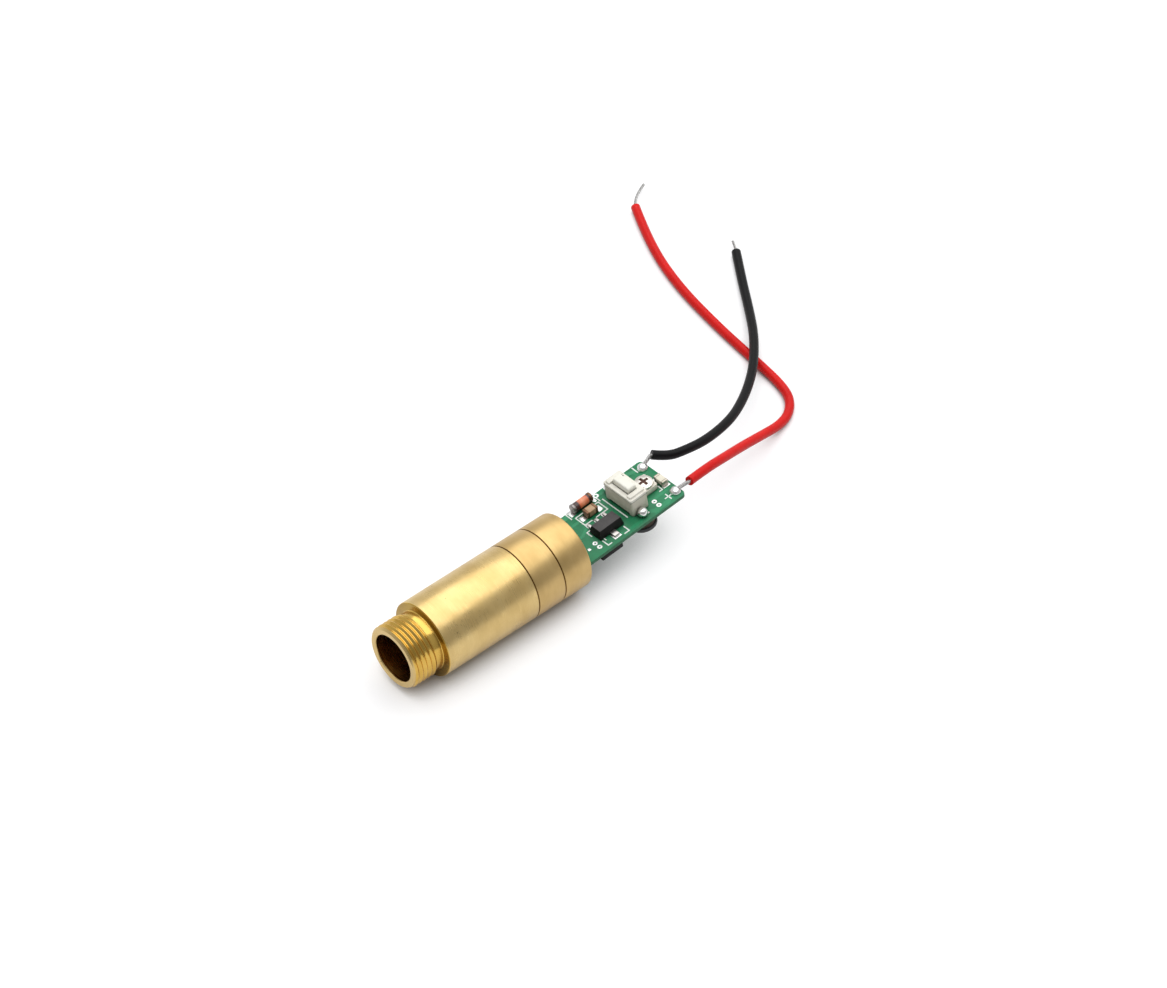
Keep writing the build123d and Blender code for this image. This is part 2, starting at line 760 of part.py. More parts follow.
# Controller chip
def make_controller_chip():
    """Moulded body below the board with bevelled edges."""
    y = rear_y + CONTROLLER_BACK
    top = board_bottom - CONTROLLER_STANDOFF
    body = hanging_block(CONTROLLER_X, y, top, CONTROLLER_W, CONTROLLER_LEN, CONTROLLER_H)
    return chamfer(body.edges().group_by(Axis.Z)[0], CONTROLLER_CHAMFER)


def make_controller_leads():
    """Bent leads in two rows, from the middle of the body up to the board."""
    y = rear_y + CONTROLLER_BACK
    shelf = board_bottom - CONTROLLER_STANDOFF - CONTROLLER_H / 2
    leads = []
    for side in (-1, 1):
        wall = y + side * CONTROLLER_LEN / 2
        knee = wall + side * GULL_SHELF
        toe = knee + side * GULL_FOOT
        profile = make_face(
            Polyline(
                (wall, shelf - GULL_T / 2),
                (knee, shelf - GULL_T / 2),
                (knee, board_bottom - GULL_T),
                (toe, board_bottom - GULL_T),
                (toe, board_bottom),
                (knee - side * GULL_T, board_bottom),
                (knee - side * GULL_T, shelf + GULL_T / 2),
                (wall, shelf + GULL_T / 2),
                close=True,
            )
        )
        lead = extrude(Plane.YZ * profile, GULL_W / 2, both=True)
        for place in range(GULL_COUNT):
            x = CONTROLLER_X + (place - (GULL_COUNT - 1) / 2) * GULL_PITCH
            leads.append(Pos(x, 0, 0) * lead)
    return leads


# Drum inductor
def make_inductor_core():
    """Ferrite drum below the board: two flanges on a hub."""
    y = rear_y + INDUCTOR_BACK
    flange_r = INDUCTOR_D / 2
    hub_r = DRUM_HUB_D / 2
    top = board_bottom
    bottom = top - INDUCTOR_H
    corners = (
        (0, top),
        (flange_r, top),
        (flange_r, top - FLANGE_DRUM_T),
        (hub_r, top - FLANGE_DRUM_T),
        (hub_r, bottom + FLANGE_DRUM_T),
        (flange_r, bottom + FLANGE_DRUM_T),
        (flange_r, bottom),
        (0, bottom),
    )
    return upright(INDUCTOR_X, y, Polyline(*corners, close=True))


def make_inductor_winding():
    """Winding between the flanges of the drum."""
    y = rear_y + INDUCTOR_BACK
    inner_r = DRUM_HUB_D / 2 + WINDING_GAP
    outer_r = WINDING_D / 2
    top = board_bottom - FLANGE_DRUM_T
    bottom = board_bottom - INDUCTOR_H + FLANGE_DRUM_T
    corners = ((inner_r, bottom), (outer_r, bottom), (outer_r, top), (inner_r, top))
    return upright(INDUCTOR_X, y, Polyline(*corners, close=True))


def make_inductor_terminals():
    """Solder clips beside the upper flange, cut to its curve."""
    y = rear_y + INDUCTOR_BACK
    flange_r = INDUCTOR_D / 2
    clips = hanging_block(
        INDUCTOR_X, y, board_bottom, DRUM_CLIP_W, INDUCTOR_D + 2 * DRUM_CLIP_T, FLANGE_DRUM_T
    )
    flange = rod((INDUCTOR_X, y, board_bottom - FLANGE_DRUM_T), (INDUCTOR_X, y, board_bottom), 2 * flange_r)
    return list((clips - flange).solids())


# Leads
def make_conductor(side, route):
    """Bare end of a lead, from inside the solder to the end of its insulation."""
    height = board_top + CONDUCTOR_D / 2 + CONDUCTOR_LIFT
    start = (LEAN * Pos(side * PAD_X, pad_y, height)).position
    return rod(tuple(start), route[0], CONDUCTOR_D) - bent_wire(route, LEAD_D)


def make_solder(side, route):
    """Solder that fills a lead hole, domed on both faces of the board and closed round the conductor."""
    pad_r = SOLDER_D / 2
    hole_r = PAD_HOLE_D / 2 - PRESS_FIT
    back_r = SOLDER_BACK_D / 2
    crown = board_top + SOLDER_H
    tail = board_bottom - SOLDER_BACK_H
    joint = upright(
        side * PAD_X,
        pad_y,
        cap_arc(pad_r, board_top, crown),
        Line((pad_r, board_top), (hole_r, board_top)),
        Line((hole_r, board_top), (hole_r, board_bottom)),
        Line((hole_r, board_bottom), (back_r, board_bottom)),
        cap_arc(back_r, board_bottom, tail),
        Line((0, tail), (0, crown)),
    )
    return LEAN * joint - make_conductor(side, route)


def make_tip(route, tip):
    """Bare tinned end that the insulation leaves free, bent a little aside."""
    return bent_wire([route[-1], *tip], CONDUCTOR_D)


def main():
    """Build every piece and write one STEP file for each."""
    filter_cap, filter_cap_ends = make_chip(FILTER_CAP_X, rear_y + FILTER_CAP_BACK, 90, FILTER_CAP)
    output_cap, output_cap_ends = make_chip(OUTPUT_CAP_X, rear_y + OUTPUT_CAP_BACK, 0, OUTPUT_CAP)
    pieces = {
        "front_barrel": make_front_barrel(),
        "crystal_holder": make_crystal_holder(),
        "diode_holder": make_diode_holder(),
        "lens_cell": make_lens_cell(),
        "collimating_lens": make_collimating_lens(),
        "lens_retainer": make_lens_retainer(),
        "infrared_filter": make_infrared_filter(),
        "expander_lens": make_expander_lens(),
        "doubling_crystal": make_crystal(rear_socket_y - LASER_CRYSTAL_LEN, DOUBLER_LEN),
        "laser_crystal": make_crystal(rear_socket_y, LASER_CRYSTAL_LEN),
        "diode_header": make_diode_header(),
        "diode_can": make_diode_can(),
        "diode_window": make_diode_window(),
        "diode_pins": [ROLL * pin for pin in make_diode_pins()],
        "positive_solder": make_solder(1, RED_ROUTE),
        "negative_solder": make_solder(-1, BLACK_ROUTE),
        "red_conductor": make_conductor(1, RED_ROUTE),
        "red_lead": bent_wire(RED_ROUTE, LEAD_D),
        "red_tip": make_tip(RED_ROUTE, RED_TIP),
        "black_conductor": make_conductor(-1, BLACK_ROUTE),
        "black_lead": bent_wire(BLACK_ROUTE, LEAD_D),
        "black_tip": make_tip(BLACK_ROUTE, BLACK_TIP),
    }
    on_board = {
        "driver_board": make_driver_board(),
        "switch_base": make_switch_base(),
        "switch_cover": make_switch_cover(),
        "switch_button": make_switch_button(),
        "switch_dome": make_switch_dome(),
        "switch_terminals": make_switch_terminals(),
        "switch_solder": make_switch_solder(),
        "trimmer_base": make_trimmer_base(),
        "trimmer_rotor": make_trimmer_rotor(),
        "trimmer_terminals": make_trimmer_terminals(),
        "transistor_body": make_transistor_body(),
        "transistor_leads": make_transistor_leads(),
        "glass_diode": make_glass_diode(),
        "glass_diode_caps": make_glass_diode_caps(),
        "filter_capacitor": filter_cap,
        "filter_capacitor_ends": filter_cap_ends,
        "output_capacitor": output_cap,
        "output_capacitor_ends": output_cap_ends,
        "controller_chip": make_controller_chip(),
        "controller_leads": make_controller_leads(),
        "inductor_core": make_inductor_core(),
        "inductor_winding": make_inductor_winding(),
        "inductor_terminals": make_inductor_terminals(),
    }
    for name, piece in on_board.items():
        pieces[name] = [LEAN * solid for solid in piece] if isinstance(piece, list) else LEAN * piece
    os.makedirs("parts", exist_ok=True)
    for name, piece in pieces.items():
        shape = Compound(children=piece) if isinstance(piece, list) else piece
        export_step(shape, f"parts/{name}.step")
    for name, route in (("red", RED_ROUTE), ("black", BLACK_ROUTE)):
        radii = ", ".join(f"{radius:.1f}" for radius in bend_radii(route))
        length = FilletPolyline(*route, radius=bend_radii(route)).length
        volume = pieces[f"{name}_lead"].volume
        expected = math.pi * LEAD_D ** 2 / 4 * length
        print(f"{name} lead: length {length:.1f}, bends {radii}")
        print(f"{name} lead: volume {volume:.2f}, section times length {expected:.2f}")


main()
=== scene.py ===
"""Dresses the laser diode module: turned brass, optics, a populated driver board and two supply leads."""

import logging
import math
from dataclasses import dataclass
from enum import Enum
from typing import Callable, Iterable, Sequence

import bmesh
import bpy
from mathutils import Matrix, Vector, noise

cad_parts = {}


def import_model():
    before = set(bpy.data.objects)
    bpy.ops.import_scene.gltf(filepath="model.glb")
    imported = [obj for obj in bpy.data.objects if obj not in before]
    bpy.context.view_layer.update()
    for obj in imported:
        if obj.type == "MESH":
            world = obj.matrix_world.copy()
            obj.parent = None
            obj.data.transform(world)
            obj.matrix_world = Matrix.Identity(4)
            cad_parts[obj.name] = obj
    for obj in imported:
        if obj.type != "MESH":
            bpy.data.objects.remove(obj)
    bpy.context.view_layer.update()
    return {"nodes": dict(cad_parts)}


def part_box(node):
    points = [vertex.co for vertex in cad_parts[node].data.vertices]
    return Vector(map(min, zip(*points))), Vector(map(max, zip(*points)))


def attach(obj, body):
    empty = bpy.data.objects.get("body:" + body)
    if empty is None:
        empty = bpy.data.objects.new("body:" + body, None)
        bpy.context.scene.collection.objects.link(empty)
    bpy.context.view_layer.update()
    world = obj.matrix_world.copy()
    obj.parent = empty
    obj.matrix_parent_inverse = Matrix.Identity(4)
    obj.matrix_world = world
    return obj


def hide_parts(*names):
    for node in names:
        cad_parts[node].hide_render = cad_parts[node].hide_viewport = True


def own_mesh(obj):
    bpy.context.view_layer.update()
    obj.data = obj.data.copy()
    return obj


LOG = logging.getLogger("laser_module")
MM = 0.001
WELD = 1e-7
FLAT_DEGREES = 1.0
SHARP_DEGREES = 28.0

Colour = tuple[float, float, float]
Point = tuple[float, float, float]
Flat = tuple[float, float]
Finishes = dict[str, bpy.types.Material]


class Body(Enum):
    """Bodies of the part that a piece can ride on."""

    MODULE = "module"
    BUTTON = "button"
    ROTOR = "rotor"


class ShaderTree:
    """Adds nodes to one material and links them."""

    def __init__(self, name: str) -> None:
        """Starts a material with a bare surface shader.

        Args:
            name: Name of the material.
        """
        self.material = bpy.data.materials.new(name)
        self.material.use_nodes = True
        self.tree = self.material.node_tree
        self.surface = self.tree.nodes["Principled BSDF"]

    def feed(self, socket: bpy.types.NodeSocket, value: object) -> None:
        """Links a socket to another one, or sets it.

        Args:
            socket: Input to fill.
            value: Output socket, number, or tuple.
        """
        if isinstance(value, bpy.types.NodeSocket):
            self.tree.links.new(value, socket)
        else:
            socket.default_value = value

    def node(self, kind: str, sockets: dict[str | int, object]) -> bpy.types.Node:
        """Adds a node and fills its inputs.

        Args:
            kind: Node type without its prefix.
            sockets: Values or output sockets, by input name or place.

        Returns:
            The new node.
        """
        made = self.tree.nodes.new("ShaderNode" + kind)
        for name, value in sockets.items():
            self.feed(made.inputs[name], value)
        return made

    def set(self, **sockets: object) -> None:
        """Fills inputs of the surface shader, named with underscores for spaces."""
        for name, value in sockets.items():
            self.feed(self.surface.inputs[name.replace("_", " ")], value)

    def coordinates(self, scale: Point = (1, 1, 1)) -> bpy.types.NodeSocket:
        """Gives object coordinates, scaled along each axis, in cells per metre."""
        place = self.node("TexCoord", {}).outputs["Object"]
        return self.node("Mapping", {"Vector": place, "Scale": scale}).outputs[0]

    def cloud(self, scale: Point, detail: float = 3.0, rough: float = 0.55) -> bpy.types.NodeSocket:
        """Gives noise over the object, mostly from 0.3 to 0.7, with a scale in cells per metre."""
        sockets = {"Vector": self.coordinates(scale), "Scale": 1.0, "Detail": detail, "Roughness": rough}
        return self.node("TexNoise", sockets).outputs[0]

    def spread(self, value: bpy.types.NodeSocket, to: Flat, start: Flat = (0.3, 0.7)) -> bpy.types.NodeSocket:
        """Maps a value from its start range to another range, clamped."""
        limits = {"From Min": start[0], "From Max": start[1], "To Min": to[0], "To Max": to[1]}
        return self.node("MapRange", {"Value": value, **limits}).outputs[0]

    def combine(self, operation: str, first: object, second: object) -> bpy.types.NodeSocket:
        """Works out one number from two.

        Args:
            operation: What is done with them, such as ADD.
            first: Number or output socket.
            second: Number or output socket.

        Returns:
            Result.
        """
        made = self.node("Math", {0: first, 1: second})
        made.operation = operation
        return made.outputs[0]

    def bands(self, axis: str, scale: float, distortion: float) -> bpy.types.NodeSocket:
        """Gives soft bands that follow one another along an axis of the object.

        Args:
            axis: X, Y or Z.
            scale: How close the bands lie.
            distortion: How far they waver.

        Returns:
            Factor output, from 0 to 1.
        """
        sockets = {"Vector": self.coordinates(), "Scale": scale, "Distortion": distortion}
        made = self.node("TexWave", sockets)
        made.bands_direction = axis
        return made.outputs["Fac"]

    def tint(self, factor: bpy.types.NodeSocket, first: object, second: object) -> bpy.types.NodeSocket:
        """Mixes two colours.

        Args:
            factor: 0 gives the first colour, 1 the second.
            first: Colour or colour output.
            second: Colour or colour output.

        Returns:
            Mixed colour.
        """
        mixed = self.tree.nodes.new("ShaderNodeMix")
        mixed.data_type = "RGBA"
        for place, value in ((0, factor), (6, first), (7, second)):
            self.feed(mixed.inputs[place], (*value, 1.0) if isinstance(value, tuple) else value)
        return mixed.outputs[2]

    def corners(self, reach: float, limits: Flat) -> bpy.types.NodeSocket:
        """Gives 1 deep in a corner and 0 in the open, by the share of sky seen within a reach in metres."""
        sky = self.node("AmbientOcclusion", {"Distance": reach})
        return self.spread(sky.outputs["AO"], (1.0, 0.0), limits)

    def relief(self, height: bpy.types.NodeSocket, strength: float, distance: float) -> bpy.types.NodeSocket:
        """Gives the normal bumped by a height from 0 to 1; the distance is its depth in metres."""
        sockets = {"Strength": strength, "Distance": distance, "Height": height}
        return self.node("Bump", sockets).outputs[0]


@dataclass(frozen=True)
class TurnedBrass:
    """Brass from the lathe: fine rings round the beam axis, soft clouding and a few pits."""

    name: str
    light: Colour
    dark: Colour
    roughness: Flat
    ring_strength: float = 0.25
    pit_share: float = 1.0
    ring_cells: Point = (120, 11000, 120)
    cloud_cells: Point = (210, 330, 210)
    sheen_cells: Point = (380, 520, 380)
    pit_cells: Point = (560, 560, 560)
    pit_areas: Point = (95, 95, 95)

    def make(self) -> bpy.types.Material:
        """Builds the material.

        Returns:
            Finished material.
        """
        shader = ShaderTree(self.name)
        rings = shader.cloud(self.ring_cells, 4.0, 0.6)
        clouds = shader.cloud(self.cloud_cells, 4.0)
        colour = shader.tint(shader.spread(clouds, (0, 1)), self.dark, self.light)
        colour = shader.tint(shader.spread(rings, (0.0, 0.3), (0.42, 0.72)), colour, self.dark)
        cells = shader.node("TexVoronoi", {"Vector": shader.coordinates(self.pit_cells), "Scale": 1.0})
        scarce = shader.spread(shader.cloud(self.pit_areas, 1.0), (0.0, self.pit_share), (0.6, 0.63))
        spot = shader.spread(cells.outputs["Distance"], (1.0, 0.0), (0.03, 0.06))
        stained = tuple(0.25 * value for value in self.dark)
        colour = shader.tint(shader.combine("MULTIPLY", scarce, spot), colour, stained)
        sheen = shader.combine("ADD", rings, shader.cloud(self.sheen_cells, 5.0, 0.65))
        shader.set(
            Base_Color=colour,
            Metallic=1.0,
            Roughness=shader.spread(sheen, self.roughness, (0.8, 1.2)),
            Normal=shader.relief(rings, self.ring_strength, 0.00003),
        )
        return shader.material


@dataclass(frozen=True)
class Plated:
    """Tinned, soldered or plated metal with a mottled sheen."""

    name: str
    light: Colour
    dark: Colour
    roughness: Flat
    cells: float = 1500.0
    strength: float = 0.2

    def make(self) -> bpy.types.Material:
        """Builds the material.

        Returns:
            Finished material.
        """
        shader = ShaderTree(self.name)
        mottle = shader.cloud((self.cells,) * 3, 4.0)
        shader.set(
            Base_Color=shader.tint(shader.spread(mottle, (0, 1)), self.dark, self.light),
            Metallic=1.0,
            Roughness=shader.spread(mottle, self.roughness),
            Normal=shader.relief(mottle, self.strength, 0.00006),
        )
        return shader.material


@dataclass(frozen=True)
class Moulded:
    """Moulded or extruded plastic, ceramic or paint with faint clouding and a fine grain."""

    name: str
    light: Colour
    dark: Colour
    roughness: Flat
    cells: float = 900.0
    grain: float = 9000.0
    strength: float = 0.15
    # Strength of the painted shade that darkens corners and creases, 0 for none.
    painted_shade: float = 0.0
    gloss: float = 0.5
    grain_detail: float = 2.0
    grain_depth: float = 0.00002

    def make(self) -> bpy.types.Material:
        """Builds the material.

        Returns:
            Finished material.
        """
        shader = ShaderTree(self.name)
        clouds = shader.cloud((self.cells,) * 3, 4.0)
        grain = shader.cloud((self.grain,) * 3, self.grain_detail)
        colour = shader.tint(shader.spread(clouds, (0, 1)), self.dark, self.light)
        # Painted shade: the colour darkens in corners and creases, by ambient occlusion.
        if self.painted_shade:
            corner_shade_colour = tuple((1.0 - self.painted_shade) * value for value in self.dark)
            colour = shader.tint(shader.corners(0.0007, (0.2, 0.75)), colour, corner_shade_colour)
        shader.set(
            Base_Color=colour,
            Roughness=shader.spread(grain, self.roughness),
            Normal=shader.relief(grain, self.strength, self.grain_depth),
            Specular_IOR_Level=self.gloss,
        )
        return shader.material


@dataclass(frozen=True)
class Clear:
    """Glass or crystal with faint streaks in its polish."""

    name: str
    tint: Colour
    ior: float
    cells: float = 500.0

    def make(self) -> bpy.types.Material:
        """Builds the material.

        Returns:
            Finished material.
        """
        shader = ShaderTree(self.name)
        streaks = shader.cloud((self.cells,) * 3)
        pale = tuple(min(1.0, 1.06 * value) for value in self.tint)
        shader.set(
            Base_Color=shader.tint(shader.spread(streaks, (0, 1)), self.tint, pale),
            Roughness=shader.spread(streaks, (0.01, 0.05)),
            IOR=self.ior,
            Transmission_Weight=1.0,
        )
        return shader.material


@dataclass(frozen=True)
class BandedGlass:
    """Amber glass of the small diode, with dark bands towards its ends."""

    name: str
    glass: Colour
    core: Colour
    band: Colour
    front_y: float
    back_y: float
    cloud_cells: Point = (1800, 1800, 1800)

    def make(self) -> bpy.types.Material:
        """Builds the material; the bands follow the length of the diode.

        Returns:
            Finished material.
        """
        shader = ShaderTree(self.name)
        place = shader.node("SeparateXYZ", {"Vector": shader.coordinates()}).outputs["Y"]
        along = shader.spread(place, (0, 1), (self.front_y * MM, self.back_y * MM))
        ramp = shader.node("ValToRGB", {"Fac": along})
        stops = ramp.color_ramp.elements
        for stop in stops:
            stop.color = (*self.band, 1)
        marks = (
            (0.22, self.band), (0.28, self.glass), (0.5, self.core), (0.84, self.glass), (0.9, self.band),
        )
        for position, colour in marks:
            stops.new(position).color = (*colour, 1)
        clouds = shader.cloud(self.cloud_cells)
        streaked = shader.tint(shader.spread(clouds, (0.0, 0.07)), ramp.outputs[0], self.core)
        shader.set(
            Base_Color=streaked,
            Roughness=0.16,
            Specular_IOR_Level=0.4,
            Coat_Weight=0.4,
            Coat_Roughness=0.05,
            Normal=shader.relief(clouds, 0.1, 0.00004),
        )
        return shader.material


@dataclass(frozen=True)
class SolderMask:
    """Green mask over glass cloth, with the weave faintly showing."""

    name: str
    light: Colour
    dark: Colour
    cloud_cells: Point = (420, 420, 420)
    weave_scale: float = 700.0

    def make(self) -> bpy.types.Material:
        """Builds the material.

        Returns:
            Finished material.
        """
        shader = ShaderTree(self.name)
        clouds = shader.cloud(self.cloud_cells, 4.0)
        warp, weft = (shader.bands(axis, self.weave_scale, 0.6) for axis in "XY")
        weave = shader.combine("MULTIPLY", warp, weft)
        colour = shader.tint(shader.spread(clouds, (0, 1)), self.dark, self.light)
        colour = shader.tint(shader.spread(weave, (0.0, 0.12), (0.2, 1.0)), colour, self.light)
        # Painted shade: the mask darkens in corners and beside raised parts, by ambient occlusion.
        deep = tuple(0.35 * value for value in self.dark)
        colour = shader.tint(shader.corners(0.0016, (0.3, 0.85)), colour, deep)
        shader.set(
            Base_Color=colour,
            Roughness=shader.spread(clouds, (0.32, 0.44)),
            Normal=shader.relief(weave, 0.08, 0.00003),
            Specular_IOR_Level=0.3,
            Coat_Weight=0.05,
            Coat_Roughness=0.15,
        )
        return shader.material


@dataclass(frozen=True)
class EnamelWire:
    """Close turns of enamelled copper wire round an upright axis."""

    name: str
    light: Colour
    dark: Colour
    turn_scale: float = 1900.0

    def make(self) -> bpy.types.Material:
        """Builds the material.

        Returns:
            Finished material.
        """
        shader = ShaderTree(self.name)
        height = shader.bands("Z", self.turn_scale, 0.4)
        # Painted shade: the colour darkens in the grooves between the turns.
        shader.set(
            Base_Color=shader.tint(shader.spread(height, (0, 1), (0.1, 0.8)), self.dark, self.light),
            Metallic=0.7,
            Roughness=shader.spread(height, (0.5, 0.28), (0.0, 1.0)),
            Normal=shader.relief(height, 0.7, 0.00008),
        )
        return shader.material


# Insulation of the leads: satin, with faint streaks and handling marks.
JACKET = dict(cells=260.0, grain=3200.0, strength=0.12, gloss=0.16, grain_detail=3.0, grain_depth=0.00003)

# Moulded recipes given a corner darkening carry painted shade in their creases and under their edges.
RECIPES = (
    TurnedBrass("satin_brass", (0.75, 0.56, 0.25), (0.62, 0.435, 0.17), (0.25, 0.40), 0.16),
    TurnedBrass("aged_brass", (0.67, 0.475, 0.205), (0.55, 0.375, 0.15), (0.33, 0.42), 0.14, 1.6),
    TurnedBrass("bright_brass", (0.78, 0.52, 0.13), (0.60, 0.355, 0.065), (0.14, 0.24), 0.1, 0.0),
    # Painted shade: a darker copy of the brass for the shoulder's front face.
    TurnedBrass("shoulder_shade_brass", (0.46, 0.30, 0.065), (0.32, 0.19, 0.035), (0.2, 0.3), 0.1, 0.0),
    TurnedBrass("bore_brass", (0.50, 0.27, 0.065), (0.32, 0.16, 0.035), (0.2, 0.32), 0.15, 0.0),
    TurnedBrass("joint_shade", (0.26, 0.14, 0.035), (0.13, 0.065, 0.014), (0.3, 0.5), 0.3, 0.0),
    Clear("lens_glass", (0.90, 0.97, 0.95), 1.6),
    Clear("filter_glass", (0.42, 0.74, 0.70), 1.52),
    Clear("doubler_crystal", (0.94, 0.96, 0.92), 1.75),
    Clear("laser_crystal", (0.74, 0.58, 0.80), 1.9),
    Plated("gold_plate", (0.85, 0.66, 0.32), (0.70, 0.50, 0.22), (0.2, 0.35)),
    SolderMask("solder_mask", (0.016, 0.255, 0.106), (0.008, 0.165, 0.064)),
    SolderMask("masked_copper", (0.026, 0.30, 0.130), (0.015, 0.225, 0.094)),
    Moulded("board_edge", (0.06, 0.21, 0.11), (0.035, 0.14, 0.07), (0.5, 0.7), 2500.0, gloss=0.3),
    Moulded("legend_white", (0.86, 0.88, 0.85), (0.76, 0.80, 0.76), (0.45, 0.6), 3000.0),
    # Painted shade: the switch body's cream is darker than its cover's, for its shaded sides.
    Moulded("switch_cream_shaded", (0.69, 0.66, 0.56), (0.62, 0.58, 0.48), (0.4, 0.52), painted_shade=0.6),
    Moulded("cover_cream", (0.86, 0.84, 0.75), (0.80, 0.77, 0.68), (0.36, 0.48), painted_shade=0.6),
    Moulded("button_cream", (0.91, 0.90, 0.81), (0.86, 0.85, 0.75), (0.3, 0.42), painted_shade=0.6),
    Moulded("seam_shade", (0.09, 0.07, 0.05), (0.05, 0.04, 0.03), (0.5, 0.7), 3000.0),
    Plated("spring_steel", (0.70, 0.70, 0.69), (0.55, 0.55, 0.54), (0.2, 0.35)),
    Plated("tinned", (0.80, 0.80, 0.79), (0.62, 0.62, 0.61), (0.22, 0.4)),
    Plated("leg_tin", (0.66, 0.63, 0.61), (0.48, 0.44, 0.42), (0.25, 0.42), 2200.0, 0.3),
    Plated("solder", (0.92, 0.92, 0.91), (0.78, 0.78, 0.77), (0.16, 0.3), 900.0, 0.15),
    Plated("dull_solder", (0.40, 0.37, 0.36), (0.20, 0.17, 0.16), (0.3, 0.5), 2600.0, 0.4),
    Plated("chip_plating", (0.62, 0.58, 0.50), (0.42, 0.38, 0.31), (0.3, 0.5)),
    # Brown plating of the filter capacitor's ends and the glass diode's far end.
    Plated("brown_plating", (0.30, 0.17, 0.10), (0.15, 0.075, 0.045), (0.35, 0.5)),
    Moulded("trimmer_ceramic", (0.80, 0.76, 0.66), (0.70, 0.65, 0.55), (0.4, 0.55), painted_shade=0.7),
    Plated("nickel", (0.80, 0.77, 0.71), (0.62, 0.58, 0.52), (0.26, 0.42)),
    Moulded("slot_shade", (0.15, 0.055, 0.035), (0.07, 0.025, 0.016), (0.5, 0.7), 3000.0),
    Moulded("package_black", (0.012, 0.011, 0.011), (0.007, 0.006, 0.006), (0.5, 0.65), gloss=0.2),
    # Painted light: a lighter copy of the package black for the lit top face.
    Moulded("package_lit_top", (0.052, 0.047, 0.046), (0.036, 0.032, 0.032), (0.42, 0.6), 1200.0, 14000.0, 0.4),
    BandedGlass("diode_glass", (0.70, 0.16, 0.06), (0.86, 0.33, 0.17), (0.030, 0.009, 0.011), 38.07, 40.76),
    Moulded("capacitor_tan", (0.52, 0.34, 0.19), (0.42, 0.25, 0.13), (0.35, 0.5), 1800.0, painted_shade=0.7),
    Moulded("capacitor_cream", (0.86, 0.82, 0.69), (0.76, 0.71, 0.57), (0.35, 0.5), 1800.0, painted_shade=0.6),
    Moulded("ferrite", (0.05, 0.05, 0.053), (0.028, 0.028, 0.03), (0.5, 0.7), 1500.0, 12000.0, 0.5),
    EnamelWire("copper_turns", (0.17, 0.13, 0.10), (0.06, 0.045, 0.035)),
    Plated("strands", (0.52, 0.52, 0.51), (0.36, 0.35, 0.34), (0.2, 0.36), 2500.0),
    Moulded("red_jacket", (0.73, 0.012, 0.010), (0.62, 0.007, 0.006), (0.28, 0.4), **JACKET),
    Moulded("black_jacket", (0.005, 0.005, 0.006), (0.0025, 0.0025, 0.003), (0.34, 0.48), **JACKET),
)


def make_finishes() -> Finishes:
    """Makes every finish of the module once, by name, to be shared by its pieces."""
    return {recipe.name: recipe.make() for recipe in RECIPES}


def mesh_of_points(points: Iterable[Sequence[float]], closed: bool) -> bmesh.types.BMesh:
    """Draws a line of edges through points.

    Args:
        points: Corners of the line, in metres.
        closed: Whether the last point is joined to the first.

    Returns:
        Mesh with the edges alone.
    """
    bm = bmesh.new()
    verts = [bm.verts.new(point) for point in points]
    pairs = list(zip(verts, verts[1:]))
    if closed:
        pairs.append((verts[-1], verts[0]))
    for first, second in pairs:
        bm.edges.new((first, second))
    return bm


def lathe(profile: Sequence[Flat], steps: int) -> bmesh.types.BMesh:
    """Turns a closed profile about the beam axis.

    Args:
        profile: Corners as (radius, y), in millimetres.
        steps: Number of faces round the axis.

    Returns:
        Closed solid with outward faces.
    """
    on_axis = profile[0][0] == 0 and profile[-1][0] == 0
    bm = mesh_of_points(((radius * MM, y * MM, 0.0) for radius, y in profile), not on_axis)
    geom = list(bm.verts) + list(bm.edges)
    bmesh.ops.spin(
        bm, geom=geom, cent=(0, 0, 0), axis=(0, 1, 0), angle=math.tau, steps=steps, use_merge=True
    )
    bmesh.ops.remove_doubles(bm, verts=bm.verts, dist=WELD)
    bmesh.ops.recalc_face_normals(bm, faces=bm.faces)
    return bm


def arc(centre: Flat, radius: float, start: float, end: float, steps: int) -> list[Flat]:
    """Gives points of an arc in a flat frame, between two angles in degrees from its first axis."""
    angles = [math.radians(start + (end - start) * step / steps) for step in range(steps + 1)]
    return [(centre[0] + radius * math.cos(angle), centre[1] + radius * math.sin(angle)) for angle in angles]


def bevel(
    bm: bmesh.types.BMesh,
    edges: Iterable[bmesh.types.BMEdge],
    width: float,
    segments: int = 2,
    clamp: bool = False,
) -> None:
    """Rounds edges of a mesh.

    Args:
        bm: Mesh to change.
        edges: Edges to round.
        width: Width of the rounding, in millimetres.
        segments: Faces across it.
        clamp: Whether the width gives way where two roundings would meet.
    """
    bmesh.ops.bevel(
        bm, geom=list(edges), offset=width * MM, offset_type="OFFSET", segments=segments, profile=0.5,
        affect="EDGES", material=-1, clamp_overlap=clamp,
    )


def slab(size: Point, place: Point, ease: float = 0.0) -> bmesh.types.BMesh:
    """Makes a block with eased edges that stands on a level.

    Args:
        size: Width, depth and height, in millimetres.
        place: Middle of its foot, in millimetres.
        ease: Width of the eased edges, or 0 for sharp ones.

    Returns:
        Mesh in metres.
    """
    bm = bmesh.new()
    bmesh.ops.create_cube(bm, size=1.0)
    bmesh.ops.scale(bm, vec=Vector(size) * MM, verts=bm.verts)
    bmesh.ops.translate(bm, vec=(Vector(place) + Vector((0, 0, size[2] / 2))) * MM, verts=bm.verts)
    if ease > 0:
        bevel(bm, bm.edges, ease)
    return bm


